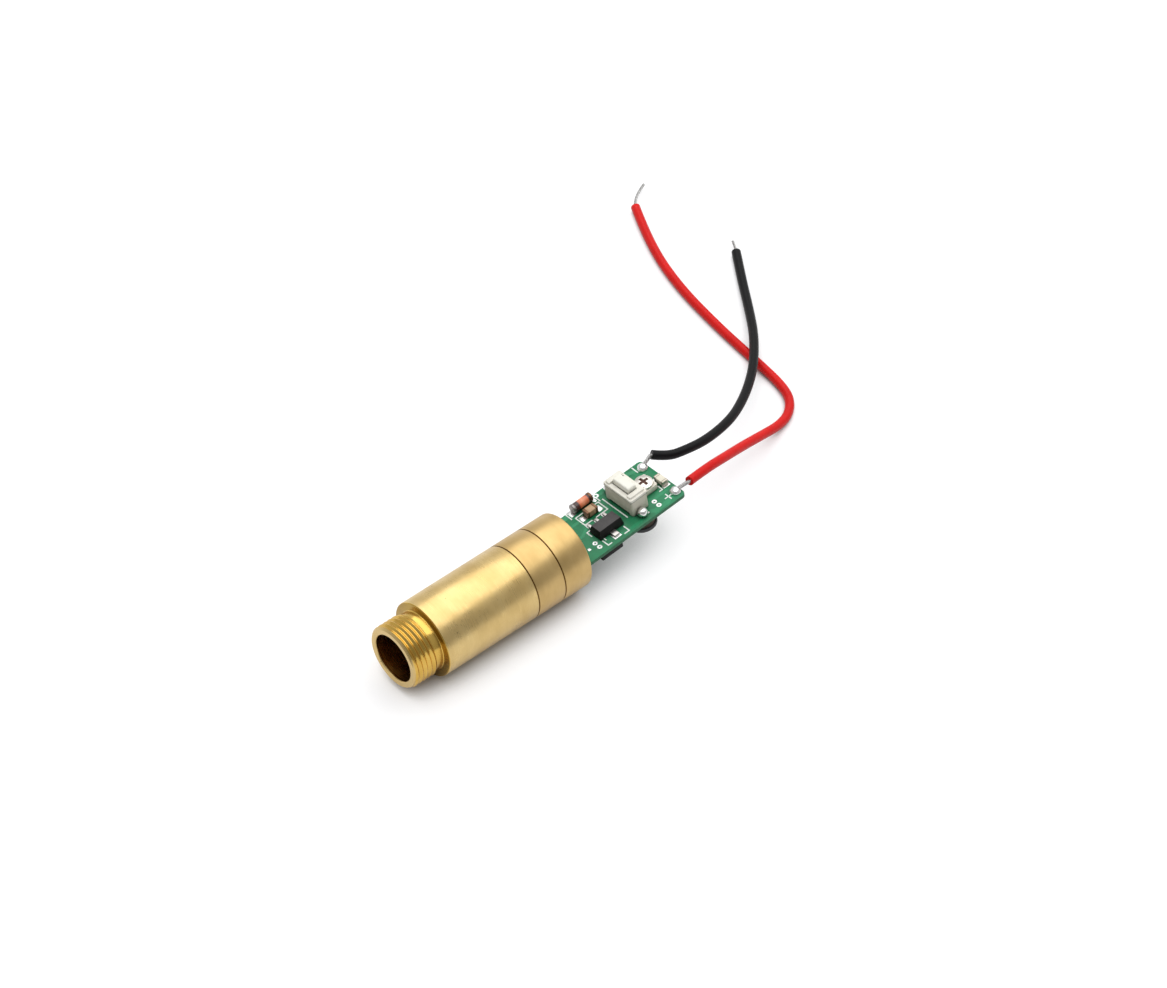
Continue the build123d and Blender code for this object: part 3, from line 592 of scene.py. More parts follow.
def eased_copy(node: bpy.types.Object, ease: float, segments: int = 2) -> bmesh.types.BMesh:
    """Copies a solid of the part and rounds its sharp edges a little.

    Args:
        node: Object of the part.
        ease: Width of the rounded edges, in millimetres.
        segments: Faces across a rounded edge.

    Returns:
        Rounded copy.
    """
    bm = bmesh.new()
    bm.from_mesh(node.data)
    bmesh.ops.remove_doubles(bm, verts=bm.verts, dist=2 * WELD)
    bmesh.ops.dissolve_limit(bm, angle_limit=math.radians(FLAT_DEGREES), verts=bm.verts, edges=bm.edges)
    limit = math.radians(SHARP_DEGREES)
    sharp = [edge for edge in bm.edges if edge.is_manifold and edge.calc_face_angle() > limit]
    bevel(bm, sharp, ease, segments, clamp=True)
    return bm


def join(meshes: Iterable[bmesh.types.BMesh]) -> bmesh.types.BMesh:
    """Gathers meshes into one.

    Args:
        meshes: Meshes to gather; they are freed.

    Returns:
        One mesh.
    """
    whole = bmesh.new()
    for bm in meshes:
        spare = bpy.data.meshes.new("spare")
        bm.to_mesh(spare)
        whole.from_mesh(spare)
        bpy.data.meshes.remove(spare)
        bm.free()
    return whole


def settle(
    bm: bmesh.types.BMesh,
    name: str,
    materials: Sequence[bpy.types.Material],
    body: Body = Body.MODULE,
    stands_for: Sequence[str] = (),
    crease: float = 32.0,
) -> bpy.types.Object:
    """Writes a mesh into a piece, shades it and makes it ride on its body.

    Args:
        bm: Finished mesh in the part's frame; it is freed.
        name: Name of the piece.
        materials: Materials in the order of the faces' indices.
        body: Body that carries the piece.
        stands_for: Nodes of the part that the piece replaces.
        crease: Angle in degrees above which an edge stays sharp.

    Returns:
        The piece.
    """
    for face in bm.faces:
        face.smooth = True
    for edge in bm.edges:
        if edge.is_manifold and edge.calc_face_angle() > math.radians(crease):
            edge.smooth = False
    mesh = bpy.data.meshes.new(name)
    bm.to_mesh(mesh)
    bm.free()
    for material in materials:
        mesh.materials.append(material)
    piece = bpy.data.objects.new(name, mesh)
    bpy.context.collection.objects.link(piece)
    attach(piece, body.value)
    if stands_for:
        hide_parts(*stands_for)
    LOG.info("made %s with %d faces", name, len(mesh.polygons))
    return piece


def spline_curve(name: str, route: Sequence[Point], radius: float) -> bpy.types.Object:
    """Draws one smooth open spline with the route's points as its control points.

    Args:
        name: Name of the curve.
        route: Control points, in millimetres.
        radius: Radius of the tube along it in millimetres, or 0 for the bare line.

    Returns:
        Curve object, not yet in the scene.
    """
    curve = bpy.data.curves.new(name, "CURVE")
    curve.dimensions = "3D"
    curve.resolution_u = 16
    curve.bevel_depth = radius * MM
    curve.bevel_resolution = 6
    curve.use_fill_caps = radius > 0
    spline = curve.splines.new("NURBS")
    spline.points.add(len(route) - 1)
    for point, place in zip(spline.points, route):
        point.co = (*(value * MM for value in place), 1.0)
    spline.order_u = 3
    spline.use_endpoint_u = True
    return bpy.data.objects.new(name, curve)


def line_along(route: Sequence[Point]) -> list[Vector]:
    """Reads points along the spline of a route.

    Args:
        route: Control points, in millimetres.

    Returns:
        Points in metres, in order.
    """
    guide = spline_curve("guide", route, 0.0)
    mesh = bpy.data.meshes.new_from_object(guide)
    points = [vertex.co.copy() for vertex in mesh.vertices]
    bpy.data.meshes.remove(mesh)
    bpy.data.curves.remove(guide.data)
    return points


def twisted_strands(
    route: Sequence[Point], diameter: float, strands: int, turns: float, fray: float, fray_start: float = 0.6
) -> bmesh.types.BMesh:
    """Makes bare strands that wind round the spline of a route.

    Args:
        route: Control points, in millimetres.
        diameter: Diameter of the bundle, in millimetres.
        strands: Number of strands round the middle one.
        turns: Turns over the whole length.
        fray: How far the bundle opens at its free end, as a share of its radius.
        fray_start: Share of the length where it starts to open.

    Returns:
        Mesh of all the strands.
    """
    line = line_along(route)
    # Three strands lie across the bundle, so six of their radii make its diameter.
    strand_r = diameter * MM / 6
    curve = bpy.data.curves.new("strands", "CURVE")
    curve.dimensions = "3D"
    curve.bevel_depth = strand_r
    curve.bevel_resolution = 3
    curve.use_fill_caps = True
    for strand in range(strands + 1):
        spline = curve.splines.new("POLY")
        spline.points.add(len(line) - 1)
        for step, (point, place) in enumerate(zip(spline.points, line)):
            share = step / (len(line) - 1)
            ahead = line[min(step + 1, len(line) - 1)] - line[max(step - 1, 0)]
            side = ahead.cross(Vector((0, 0, 1))).normalized()
            rise = side.cross(ahead).normalized()
            angle = math.tau * (strand / strands + turns * share)
            reach = 2 * strand_r * (1 + fray * max(0.0, share - fray_start) / (1 - fray_start))
            if strand == strands:
                reach = 0.0
            offset = (side * math.cos(angle) + rise * math.sin(angle)) * reach
            point.co = (*(place + offset), 1.0)
    mesh = bpy.data.meshes.new_from_object(bpy.data.objects.new("strands", curve))
    bm = bmesh.new()
    bm.from_mesh(mesh)
    bpy.data.meshes.remove(mesh)
    bpy.data.curves.remove(curve)
    return bm


@dataclass(frozen=True)
class BoardPlane:
    """The board's own frame: level pieces are leaned about the tongue's end and rolled with the diode."""

    tongue_y: float = 30.3
    lean: float = 5.2
    roll: float = 5.0
    middle_z: float = -0.2431782
    thickness: float = 0.6

    @property
    def top(self) -> float:
        """Level of the component side before the lean, in millimetres."""
        return self.middle_z + self.thickness / 2

    @property
    def bottom(self) -> float:
        """Level of the underside before the lean, in millimetres."""
        return self.middle_z - self.thickness / 2

    def matrix(self) -> Matrix:
        """Gives the turn that leans and rolls a level piece.

        Returns:
            Transform in metres.
        """
        pivot = Vector((0, self.tongue_y, self.middle_z)) * MM
        lean = Matrix.Rotation(math.radians(self.lean), 4, "X")
        roll = Matrix.Rotation(math.radians(-self.roll), 4, "Y")
        return roll @ Matrix.Translation(pivot) @ lean @ Matrix.Translation(-pivot)

    @property
    def up(self) -> Vector:
        """Direction straight out of the component side."""
        return self.matrix().to_3x3() @ Vector((0, 0, 1))

    def seat(self, bm: bmesh.types.BMesh) -> bmesh.types.BMesh:
        """Leans and rolls a level mesh with the board."""
        bmesh.ops.transform(bm, matrix=self.matrix(), verts=bm.verts)
        return bm

    def level_of(self, place: Vector) -> Vector:
        """Gives a seated place, in metres, as level millimetres."""
        return self.matrix().inverted() @ place / MM

    def seated(self, place: Point) -> Vector:
        """Gives a level place, in millimetres, as seated millimetres."""
        return self.matrix() @ (Vector(place) * MM) / MM


PLANE = BoardPlane()
ROTOR_CENTRE = (-0.3, 48.1)
RECESS_REACH = 1.0
RECESS_HEIGHT = (1.0, 1.35)
DIODE_MIDDLE_Y = 39.55
FACING_UP = 0.9


@dataclass
class BrassBarrel:
    """Three turned brass pieces: the front barrel with its threaded nose, and the two rings behind it."""

    finishes: Finishes
    barrel_r: float = 6.0
    thread_r: float = 5.0
    neck_r: float = 4.7
    outside_r: float = 4.5
    shoulder_r: float = 4.8
    bore_r: float = 3.8
    socket_r: float = 4.5
    spigot_r: float = 4.47
    filter_r: float = 2.2
    crystal_r: float = 0.8
    rear_socket_r: float = 3.4
    diode_spigot_r: float = 3.37
    header_r: float = 2.81
    can_r: float = 1.925
    pocket_r: float = 4.8
    rim_y: float = 0.3
    thread_end_y: float = 4.0
    shoulder_y: float = 5.5
    seat_y: float = 9.0
    spigot_y: float = 17.3
    filter_seat_y: float = 19.3
    crystal_joint_y: float = 22.3
    rear_socket_y: float = 24.3
    diode_spigot_y: float = 24.5
    diode_joint_y: float = 27.3
    header_y: float = 27.9
    pocket_y: float = 29.1
    rear_y: float = 32.3
    pitch: float = 0.8
    thread_depth: float = 0.28
    groove_start: float = 0.1
    groove_flank: float = 0.78
    row: float = 0.05
    nose_chamfer: float = 0.35
    neck_round: float = 0.15
    edge: float = 0.2
    joint_edge: float = 0.12
    shoulder_shade_band: float = 0.08
    seam: float = 0.1
    touch: float = 0.01
    steps: int = 192

    def build(self) -> None:
        """Makes the three pieces."""
        self.build_front()
        self.build_crystal_holder()
        self.build_diode_holder()

    def nose_profile(self) -> list[Flat]:
        """Gives the outside of the nose.

        Returns:
            Points (radius, y) from the bore's mouth to the barrel's front edge, in millimetres.
        """
        profile = arc((self.bore_r + self.edge, self.edge), self.edge, 180, 270, 4)
        rows = int((self.thread_end_y + self.thread_r - self.neck_r) / self.row)
        chamfer_r = self.thread_r - self.nose_chamfer
        for index in range(rows + 1):
            y = index * self.row
            crest = min(self.thread_r, chamfer_r + y, self.thread_r - max(0.0, y - self.thread_end_y))
            profile.append((crest, y))
        bend = self.neck_round
        profile.extend(arc((self.neck_r + bend, self.shoulder_y - bend), bend, 180, 90, 3))
        profile.extend(self.front_edge(self.shoulder_y, self.edge, 4))
        return profile

    def front_edge(self, y: float, radius: float, steps: int) -> list[Flat]:
        """Gives the rounded outer edge of a front face at y, from the face to the outside."""
        return arc((self.barrel_r - radius, y + radius), radius, -90, 0, steps)

    def back_edge(self, y: float, radius: float, steps: int) -> list[Flat]:
        """Gives the rounded outer edge of a back face at y, from the outside to the face."""
        return arc((self.barrel_r - radius, y - radius), radius, 0, 90, steps)

    def cut_thread(self, bm: bmesh.types.BMesh) -> None:
        """Presses the helical groove of the thread into the nose.

        Args:
            bm: Mesh of the front barrel.
        """
        last = self.thread_end_y + self.thread_r - self.neck_r - self.row / 2
        for vert in bm.verts:
            y = vert.co.y / MM
            radius = math.hypot(vert.co.x, vert.co.z) / MM
            if radius < self.outside_r or not 0 <= y < last:
                continue
            phase = (y / self.pitch - math.atan2(vert.co.x, vert.co.z) / math.tau) % 1.0
            groove = min(1.0, max(0.0, (abs(2 * phase - 1) - self.groove_start) / self.groove_flank))
            wanted = min(radius, self.thread_r - self.thread_depth * groove)
            vert.co.x *= wanted / radius
            vert.co.z *= wanted / radius

    def in_seam(self, middle: Vector) -> bool:
        """Tells whether a face lies in the dark corner of a joint between two pieces."""
        return any(abs(middle.y - joint) < self.seam for joint in (self.crystal_joint_y, self.diode_joint_y))

    def finish_ring(self, bm: bmesh.types.BMesh, name: str, node: str) -> None:
        """Darkens the joints of a ring and settles it.

        Args:
            bm: Mesh of the ring.
            name: Name of the piece.
            node: Node that it stands for.
        """
        for face in bm.faces:
            face.material_index = int(self.in_seam(face.calc_center_median() / MM))
        materials = [self.finishes["aged_brass"], self.finishes["joint_shade"]]
        settle(bm, name, materials, stands_for=(node,))

    def build_front(self) -> None:
        """Makes the front barrel."""
        profile = self.nose_profile()
        end = self.crystal_joint_y
        profile.extend(self.back_edge(end, self.joint_edge, 3))
        profile.extend(((self.socket_r, end), (self.socket_r, self.seat_y), (self.bore_r, self.seat_y)))
        bm = lathe(profile, self.steps)
        self.cut_thread(bm)
        for face in bm.faces:
            middle = face.calc_center_median() / MM
            radius = math.hypot(middle.x, middle.z)
            if self.in_seam(middle):
                face.material_index = 3
            elif radius < self.socket_r + self.touch and middle.y > self.rim_y:
                face.material_index = 2
            # Painted shade: the shoulder's front face takes the darker brass.
            elif radius > self.shoulder_r and abs(middle.y - self.shoulder_y) < self.shoulder_shade_band:
                face.material_index = 4
            elif self.rim_y < middle.y < self.shoulder_y + self.joint_edge:
                face.material_index = 1
        names = ("satin_brass", "bright_brass", "bore_brass", "joint_shade", "shoulder_shade_brass")
        materials = [self.finishes[name] for name in names]
        settle(bm, "barrel_front", materials, stands_for=("front_barrel",))

    def spigot(self, bore_r: float, outer_r: float, front_y: float, back_y: float) -> list[Flat]:
        """Gives the outside of a spigot with a chamfered front, from its hole to the ring behind it."""
        face = [(bore_r, front_y), (outer_r - self.edge, front_y)]
        return [*face, (outer_r, front_y + self.edge), (outer_r, back_y)]

    def build_crystal_holder(self) -> None:
        """Makes the middle ring."""
        start = self.crystal_joint_y
        end = self.diode_joint_y
        profile = self.spigot(self.filter_r, self.spigot_r, self.spigot_y, start)
        profile.extend(self.front_edge(start, self.joint_edge, 3))
        profile.extend(self.back_edge(end, self.joint_edge, 3))
        profile.extend(((self.rear_socket_r, end), (self.rear_socket_r, self.rear_socket_y)))
        profile.extend(((self.crystal_r, self.rear_socket_y), (self.crystal_r, self.filter_seat_y)))
        profile.append((self.filter_r, self.filter_seat_y))
        self.finish_ring(lathe(profile, self.steps), "barrel_middle", "crystal_holder")

    def build_diode_holder(self) -> None:
        """Makes the rear ring with the pocket for the board."""
        start = self.diode_joint_y
        end = self.rear_y
        profile = self.spigot(self.can_r, self.diode_spigot_r, self.diode_spigot_y, start)
        profile.extend(self.front_edge(start, self.joint_edge, 3))
        profile.extend(self.back_edge(end, self.edge, 4))
        profile.extend(((self.pocket_r, end), (self.pocket_r, self.pocket_y)))
        profile.extend(((self.header_r, self.pocket_y), (self.header_r, self.header_y)))
        profile.append((self.can_r, self.header_y))
        self.finish_ring(lathe(profile, self.steps), "barrel_rear", "diode_holder")


@dataclass
class DriverBoard:
    """The green board with its masked tracks, bare pads and printed marks."""

    finishes: Finishes
    half_w: float = 5.0
    tongue_half_w: float = 4.669
    shoulder_y: float = 32.5
    tail_y: float = 51.55
    corner_r: float = 0.75
    corner_steps: int = 6
    edge: float = 0.05
    steep: float = 0.5
    track_t: float = 0.012
    pad_t: float = 0.025
    pad_edge: float = 0.008
    via_w: float = 0.24
    via_steps: int = 12
    print_t: float = 0.03
    print_w: float = 0.21
    step_down: float = 0.15
    slope: float = 0.6
    tracks: tuple[tuple[float, tuple[Flat, ...]], ...] = (
        (0.9, ((-4.4, 33.6), (-4.4, 37.2))),
        (0.5, ((-2.4, 37.8), (-2.4, 35.4), (-1.4, 34.4), (-1.4, 33.0))),
        (0.5, ((-0.8, 37.5), (0.2, 35.6), (0.2, 33.2))),
        (0.6, ((3.7, 39.4), (4.3, 40.2), (4.3, 43.2), (3.6, 44.4))),
        (0.5, ((-2.3, 41.1), (-1.5, 41.9), (-1.0, 43.0))),
        (0.5, ((-4.4, 41.8), (-4.2, 43.4), (-3.8, 44.6))),
        (0.8, ((3.5, 45.2), (4.3, 46.2), (4.3, 48.4), (3.6, 50.4))),
        (0.7, ((-3.8, 45.2), (-4.3, 46.8), (-4.3, 48.2), (-3.6, 50.4))),
        (0.45, ((1.3, 46.6), (2.4, 47.4), (2.4, 49.9), (1.7, 50.6))),
    )
    strokes: tuple[tuple[Flat, ...], ...] = (
        ((-3.25, 42.54), (2.17, 42.54)),
        ((-4.1, 42.06), (-3.3, 42.06)),
        ((-3.32, 40.95), (-3.32, 41.72), (-1.21, 41.72), (-1.21, 39.55)),
        ((-3.32, 38.75), (-3.32, 37.34), (-1.22, 37.34), (-1.22, 38.65)),
        ((-4.82, 37.95), (-4.82, 36.8), (-3.6, 36.8)),
        ((0.12, 37.1), (0.12, 36.5), (1.15, 36.5)),
        ((3.1, 36.97), (4.3, 36.97), (4.3, 37.6)),
        ((2.8, 37.43), (3.25, 37.43)),
        ((3.2, 40.96), (4.35, 40.96), (4.35, 40.15)),
        ((0.95, 49.7), (1.85, 49.7), (1.85, 49.2)),
        ((-4.7, 49.6), (-3.5, 49.6)),
        ((2.95, 49.33), (4.14, 49.33)),
        ((3.55, 48.75), (3.55, 49.9)),
    )
    vias: tuple[tuple[Flat, float], ...] = (
        ((-4.5, 42.3), 0.32),
        ((2.6, 35.9), 0.26),
        ((3.6, 35.9), 0.26),
        ((2.8, 47.25), 0.26),
        ((3.8, 47.25), 0.26),
    )
    pads: tuple[tuple[Flat, Flat], ...] = (
        ((-4.45, 37.5), (1.25, 0.85)),
        ((-4.4, 41.55), (1.1, 0.55)),
        ((-2.45, 38.0), (1.05, 0.85)),
        ((-2.3, 40.95), (1.2, 0.8)),
        ((-3.85, 41.58), (0.45, 0.4)),
        ((3.6, 39.05), (1.25, 1.3)),
        ((-0.75, 37.55), (0.75, 0.65)),
        ((-0.75, 39.05), (0.75, 0.65)),
        ((-0.75, 40.55), (0.75, 0.65)),
        ((-0.45, 50.6), (0.6, 1.25)),
        ((1.65, 50.6), (0.6, 1.25)),
        ((2.9, 34.5), (0.5, 0.45)),
        ((-0.4, 33.6), (0.6, 1.1)),
    )

    def build(self) -> None:
        """Makes the plate, the tracks, the pads and the print."""
        self.build_plate()
        top = PLANE.top
        tracks = join(self.strip(line, width, top, self.track_t) for width, line in self.tracks)
        settle(PLANE.seat(tracks), "board_tracks", [self.finishes["masked_copper"]])
        flats = [slab((*size, self.pad_t), (*middle, top), self.pad_edge) for middle, size in self.pads]
        flats.extend(self.strip(self.ring(*via), self.via_w, top, self.pad_t) for via in self.vias)
        settle(PLANE.seat(join(flats)), "board_pads", [self.finishes["tinned"]])
        marks = join(self.strip(line, self.print_w, top, self.print_t) for line in self.strokes)
        settle(PLANE.seat(marks), "board_print", [self.finishes["legend_white"]])

    def build_plate(self) -> None:
        """Makes the board itself with rounded rear corners and eased edges."""
        outline = (
            (-self.tongue_half_w, PLANE.tongue_y),
            (self.tongue_half_w, PLANE.tongue_y),
            (self.tongue_half_w, self.shoulder_y),
            (self.half_w, self.shoulder_y),
            (self.half_w, self.tail_y),
            (-self.half_w, self.tail_y),
            (-self.half_w, self.shoulder_y),
            (-self.tongue_half_w, self.shoulder_y),
        )
        bm = mesh_of_points(((x * MM, y * MM, PLANE.bottom * MM) for x, y in outline), True)
        face = bmesh.ops.contextual_create(bm, geom=list(bm.edges))["faces"]
        raised = bmesh.ops.extrude_face_region(bm, geom=face)["geom"]
        tops = [item for item in raised if isinstance(item, bmesh.types.BMVert)]
        bmesh.ops.translate(bm, vec=(0, 0, PLANE.thickness * MM), verts=tops)
        bmesh.ops.recalc_face_normals(bm, faces=bm.faces)
        upright = [edge for edge in bm.edges if edge.verts[0].co.z != edge.verts[1].co.z]
        tail = (self.tail_y - self.corner_r) * MM
        bevel(bm, [edge for edge in upright if edge.verts[0].co.y > tail], self.corner_r, self.corner_steps)
        bevel(bm, [edge for edge in bm.edges if edge.verts[0].co.z == edge.verts[1].co.z], self.edge)
        for side in bm.faces:
            side.material_index = int(abs(side.normal.z) < self.steep)
        materials = [self.finishes["solder_mask"], self.finishes["board_edge"]]
        settle(PLANE.seat(bm), "board_plate", materials, stands_for=("driver_board",))

    def ring(self, middle: Flat, radius: float) -> tuple[Flat, ...]:
        """Gives the corners of a round mark, the first one repeated at the end."""
        return tuple(arc(middle, radius, 0, 360, self.via_steps))

    def strip(self, line: Sequence[Flat], width: float, level: float, height: float) -> bmesh.types.BMesh:
        """Makes a thin raised line on the board; every other run is lower, so that no two tops coincide.

        Args:
            line: Corners of the line, in millimetres.
            width: Width of the line.
            level: Level that it lies on.
            height: How far it stands up.

        Returns:
            Mesh in metres.
        """
        runs = []
        for index, (start, end) in enumerate(zip(line, line[1:])):
            run = Vector(end) - Vector(start)
            rise = height * (1.0 - self.step_down * (index % 2))
            bm = slab((run.length + width, width, rise), (0, 0, 0))
            top = [edge for edge in bm.edges if all(vert.co.z > rise * MM / 2 for vert in edge.verts)]
            bevel(bm, top, rise * self.slope, 1)
            middle = (Vector(start) + Vector(end)) / 2
            turn = Matrix.Rotation(math.atan2(run.y, run.x), 4, "Z")
            place = Matrix.Translation(Vector((middle.x, middle.y, level)) * MM)
            bmesh.ops.transform(bm, matrix=place @ turn, verts=bm.verts)
            runs.append(bm)
        return join(runs)


@dataclass
class EasedPart:
    """A moulded or plated solid of the part that only needs its edges rounded."""

    node: str
    finish: str
    slot: str
    ease: float
    body: Body = Body.MODULE
    segments: int = 2
    grow: float = 0.0
    crease: float = 40.0
    piece: str = ""
    second_finish: str = ""
    second_faces: Callable[[Vector, Vector], bool] | None = None

    def build(self, nodes: dict[str, bpy.types.Object], finishes: Finishes) -> bpy.types.Object:
        """Makes the rounded piece.

        Args:
            nodes: Objects of the part.
            finishes: Finishes of the module.

        Returns:
            The piece.
        """
        bm = eased_copy(nodes[self.node], self.ease, self.segments)
        low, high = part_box(self.node)
        near = [vert for vert in bm.verts if vert.co.x > (low[0] + high[0]) / 2]
        bmesh.ops.translate(bm, vec=(self.grow * MM, 0, 0), verts=near)
        materials = [finishes[self.finish]]
        if self.second_faces:
            materials.append(finishes[self.second_finish])
            bm.normal_update()
            for face in bm.faces:
                place = PLANE.level_of(face.calc_center_median())
                face.material_index = int(self.second_faces(place, face.normal))
        name = self.piece or "eased_" + self.node
        return settle(bm, name, materials, self.body, (self.node,), self.crease)


def faces_up(_place: Vector, normal: Vector) -> bool:
    """Tells whether a face looks out of the component side."""
    return normal.dot(PLANE.up) > FACING_UP


def in_recess(place: Vector, _normal: Vector) -> bool:
    """Tells whether a face of the trimmer's rotor lies on the floor of its cross recess."""
    reach = math.hypot(place.x - ROTOR_CENTRE[0], place.y - ROTOR_CENTRE[1])
    return reach < RECESS_REACH and RECESS_HEIGHT[0] < place.z - PLANE.top < RECESS_HEIGHT[1]


def on_far_end(place: Vector, _normal: Vector) -> bool:
    """Tells whether a face of the glass diode's ends belongs to the far one."""
    return place.y > DIODE_MIDDLE_Y


@dataclass
class SwitchShadeLine:
    """Dark strip under the edge of the switch's cover: painted shade between the body of the switch and its
    cover.
    """

    finishes: Finishes
    middle: Flat = (-0.15, 44.65)
    size: Flat = (6.05, 3.15)
    level: float = 2.8
    height: float = 0.1

    def build(self) -> None:
        """Makes the line."""
        place = (*self.middle, PLANE.top + self.level - self.height)
        bm = PLANE.seat(slab((*self.size, self.height), place))
        settle(bm, "switch_shade_line", [self.finishes["seam_shade"]])


@dataclass
class SnapDome:
    """Thin spring dome under the button."""

    finishes: Finishes
    nodes: dict[str, bpy.types.Object]
    foot: Point = (-0.15, 44.65, 1.60)
    keep: float = 0.36

    def build(self) -> None:
        """Makes the dome."""
        bm = eased_copy(self.nodes["switch_dome"], 0.01)
        steel = [self.finishes["spring_steel"]]
        dome = settle(bm, "snap_dome", steel, stands_for=("switch_dome",))
        tuple(PLANE.up)
        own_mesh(dome)


@dataclass
class SolderJoints:
    """Uneven solder on the lead pads and at the ends of the switch."""

    finishes: Finishes
    pad_x: float = 3.6
    pad_y: float = 50.63
    crown: Point = (1.7, 1.7, 1.5)
    crown_foot: float = 0.1
    back: Point = (1.45, 1.45, 0.6)
    fill: float = 0.7
    fill_edge: float = 0.2
    bead: Point = (1.6, 1.6, 1.5)
    bead_x: Flat = (-3.85, 3.6)
    bead_y: float = 44.35
    bead_lift: float = 0.6
    unevenness: float = 0.09
    waves: float = 2.2

    def build(self) -> None:
        """Makes the joints."""
        solder = [self.finishes["solder"]]
        for side, node in ((1, "positive_solder"), (-1, "negative_solder")):
            place = (side * self.pad_x, self.pad_y)
            crown = self.blob((*place, PLANE.top), self.crown, 3.0 + side, self.crown_foot)
            back = self.blob((*place, PLANE.bottom), self.back, 7.0 + side)
            fill = slab((self.fill, self.fill, PLANE.thickness), (*place, PLANE.bottom), self.fill_edge)
            joint = PLANE.seat(join((crown, back, fill)))
            settle(joint, node + "_joint", solder, stands_for=(node,))
        level = PLANE.top + self.bead_lift
        beads = join(self.blob((x, self.bead_y, level), self.bead, 11.0 + x) for x in self.bead_x)
        settle(PLANE.seat(beads), "switch_beads", solder, stands_for=("switch_solder",))

    def blob(self, place: Point, size: Point, seed: float, foot: float = 1.0) -> bmesh.types.BMesh:
        """Makes an uneven ball of solder.

        Args:
            place: Middle of the ball, in millimetres.
            size: Width, depth and height.
            seed: Shift of the unevenness.
            foot: Share of the lower half's depth that stays.

        Returns:
            Mesh in metres.
        """
        bm = bmesh.new()
        bmesh.ops.create_icosphere(bm, subdivisions=4, radius=0.5)
        for vert in bm.verts:
            wave = noise.noise(vert.co * self.waves + Vector((seed, 0, 0)))
            vert.co *= 1 + self.unevenness * wave
            if vert.co.z < 0:
                vert.co.z *= foot
        bmesh.ops.scale(bm, vec=Vector(size) * MM, verts=bm.verts)
        bmesh.ops.translate(bm, vec=Vector(place) * MM, verts=bm.verts)
        return bm


@dataclass
class SupplyLead:
    """One insulated lead with bare, tinned strands at both ends."""

    colour: str
    finishes: Finishes
    route: tuple[Point, ...]
    tip: tuple[Point, ...]
    length: float
    pad: Point
    diameter: float = 1.45
    bare_d: float = 0.6
    tip_d: float = 0.42
    outer_strands: int = 6
    bare_turns: float = 1.2
    tip_turns: float = 1.6
    fray: float = 0.1
    hidden: float = 0.3
    straight: float = 0.15
    bend: float = 0.45

    def build(self) -> None:
        jacket = spline_curve(self.colour + "_insulation", self.route, self.diameter / 2)
        bpy.context.collection.objects.link(jacket)
        jacket.data.materials.append(self.finishes[self.colour + "_jacket"])
        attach(jacket, Body.MODULE.value)
        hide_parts(self.colour + "_lead")
        start = Vector(self.route[0])
        ahead = (Vector(self.route[1]) - start).normalized()
        end = PLANE.seated(self.pad)
        places = (start + ahead * self.hidden, start - ahead * self.straight, start.lerp(end, self.bend), end)
        ends = (
            ("conductor", [tuple(place) for place in places], self.bare_d, self.bare_turns, 0.0),
            ("tip", (self.route[-1], *self.tip), self.tip_d, self.tip_turns, self.fray),
        )
        tinned = [self.finishes["strands"]]
        for name, route, diameter, turns, fray in ends:
            node = f"{self.colour}_{name}"
            bm = twisted_strands(route, diameter, self.outer_strands, turns, fray)
            settle(bm, node + "_strands", tinned, stands_for=(node,))
        LOG.info("made %s lead", self.colour)


@dataclass
class Optics:
    """The collimating lens that shows in the bore; the sealed pieces keep their solids."""

    finishes: Finishes
    lens_r: float = 3.7
    dome_r: float = 3.22
    front_y: float = 9.6
    back_y: float = 11.0
    sag: float = 0.6
    dome_steps: int = 20
    steps: int = 96

    def build(self) -> None:
        """Makes the lens with a domed front."""
        half_angle = 2 * math.atan(self.sag / self.dome_r)
        ball_r = self.dome_r / math.sin(half_angle)
        centre_y = self.front_y - self.sag + ball_r
        dome = arc((0.0, centre_y), ball_r, -90, -90 + math.degrees(half_angle), self.dome_steps)
        dome[0] = (0.0, self.front_y - self.sag)
        profile = [*dome, (self.lens_r, self.front_y), (self.lens_r, self.back_y), (0.0, self.back_y)]
        glass = [self.finishes["lens_glass"]]
        bm = lathe(profile, self.steps)
        settle(bm, "lens_front", glass, stands_for=("collimating_lens",))


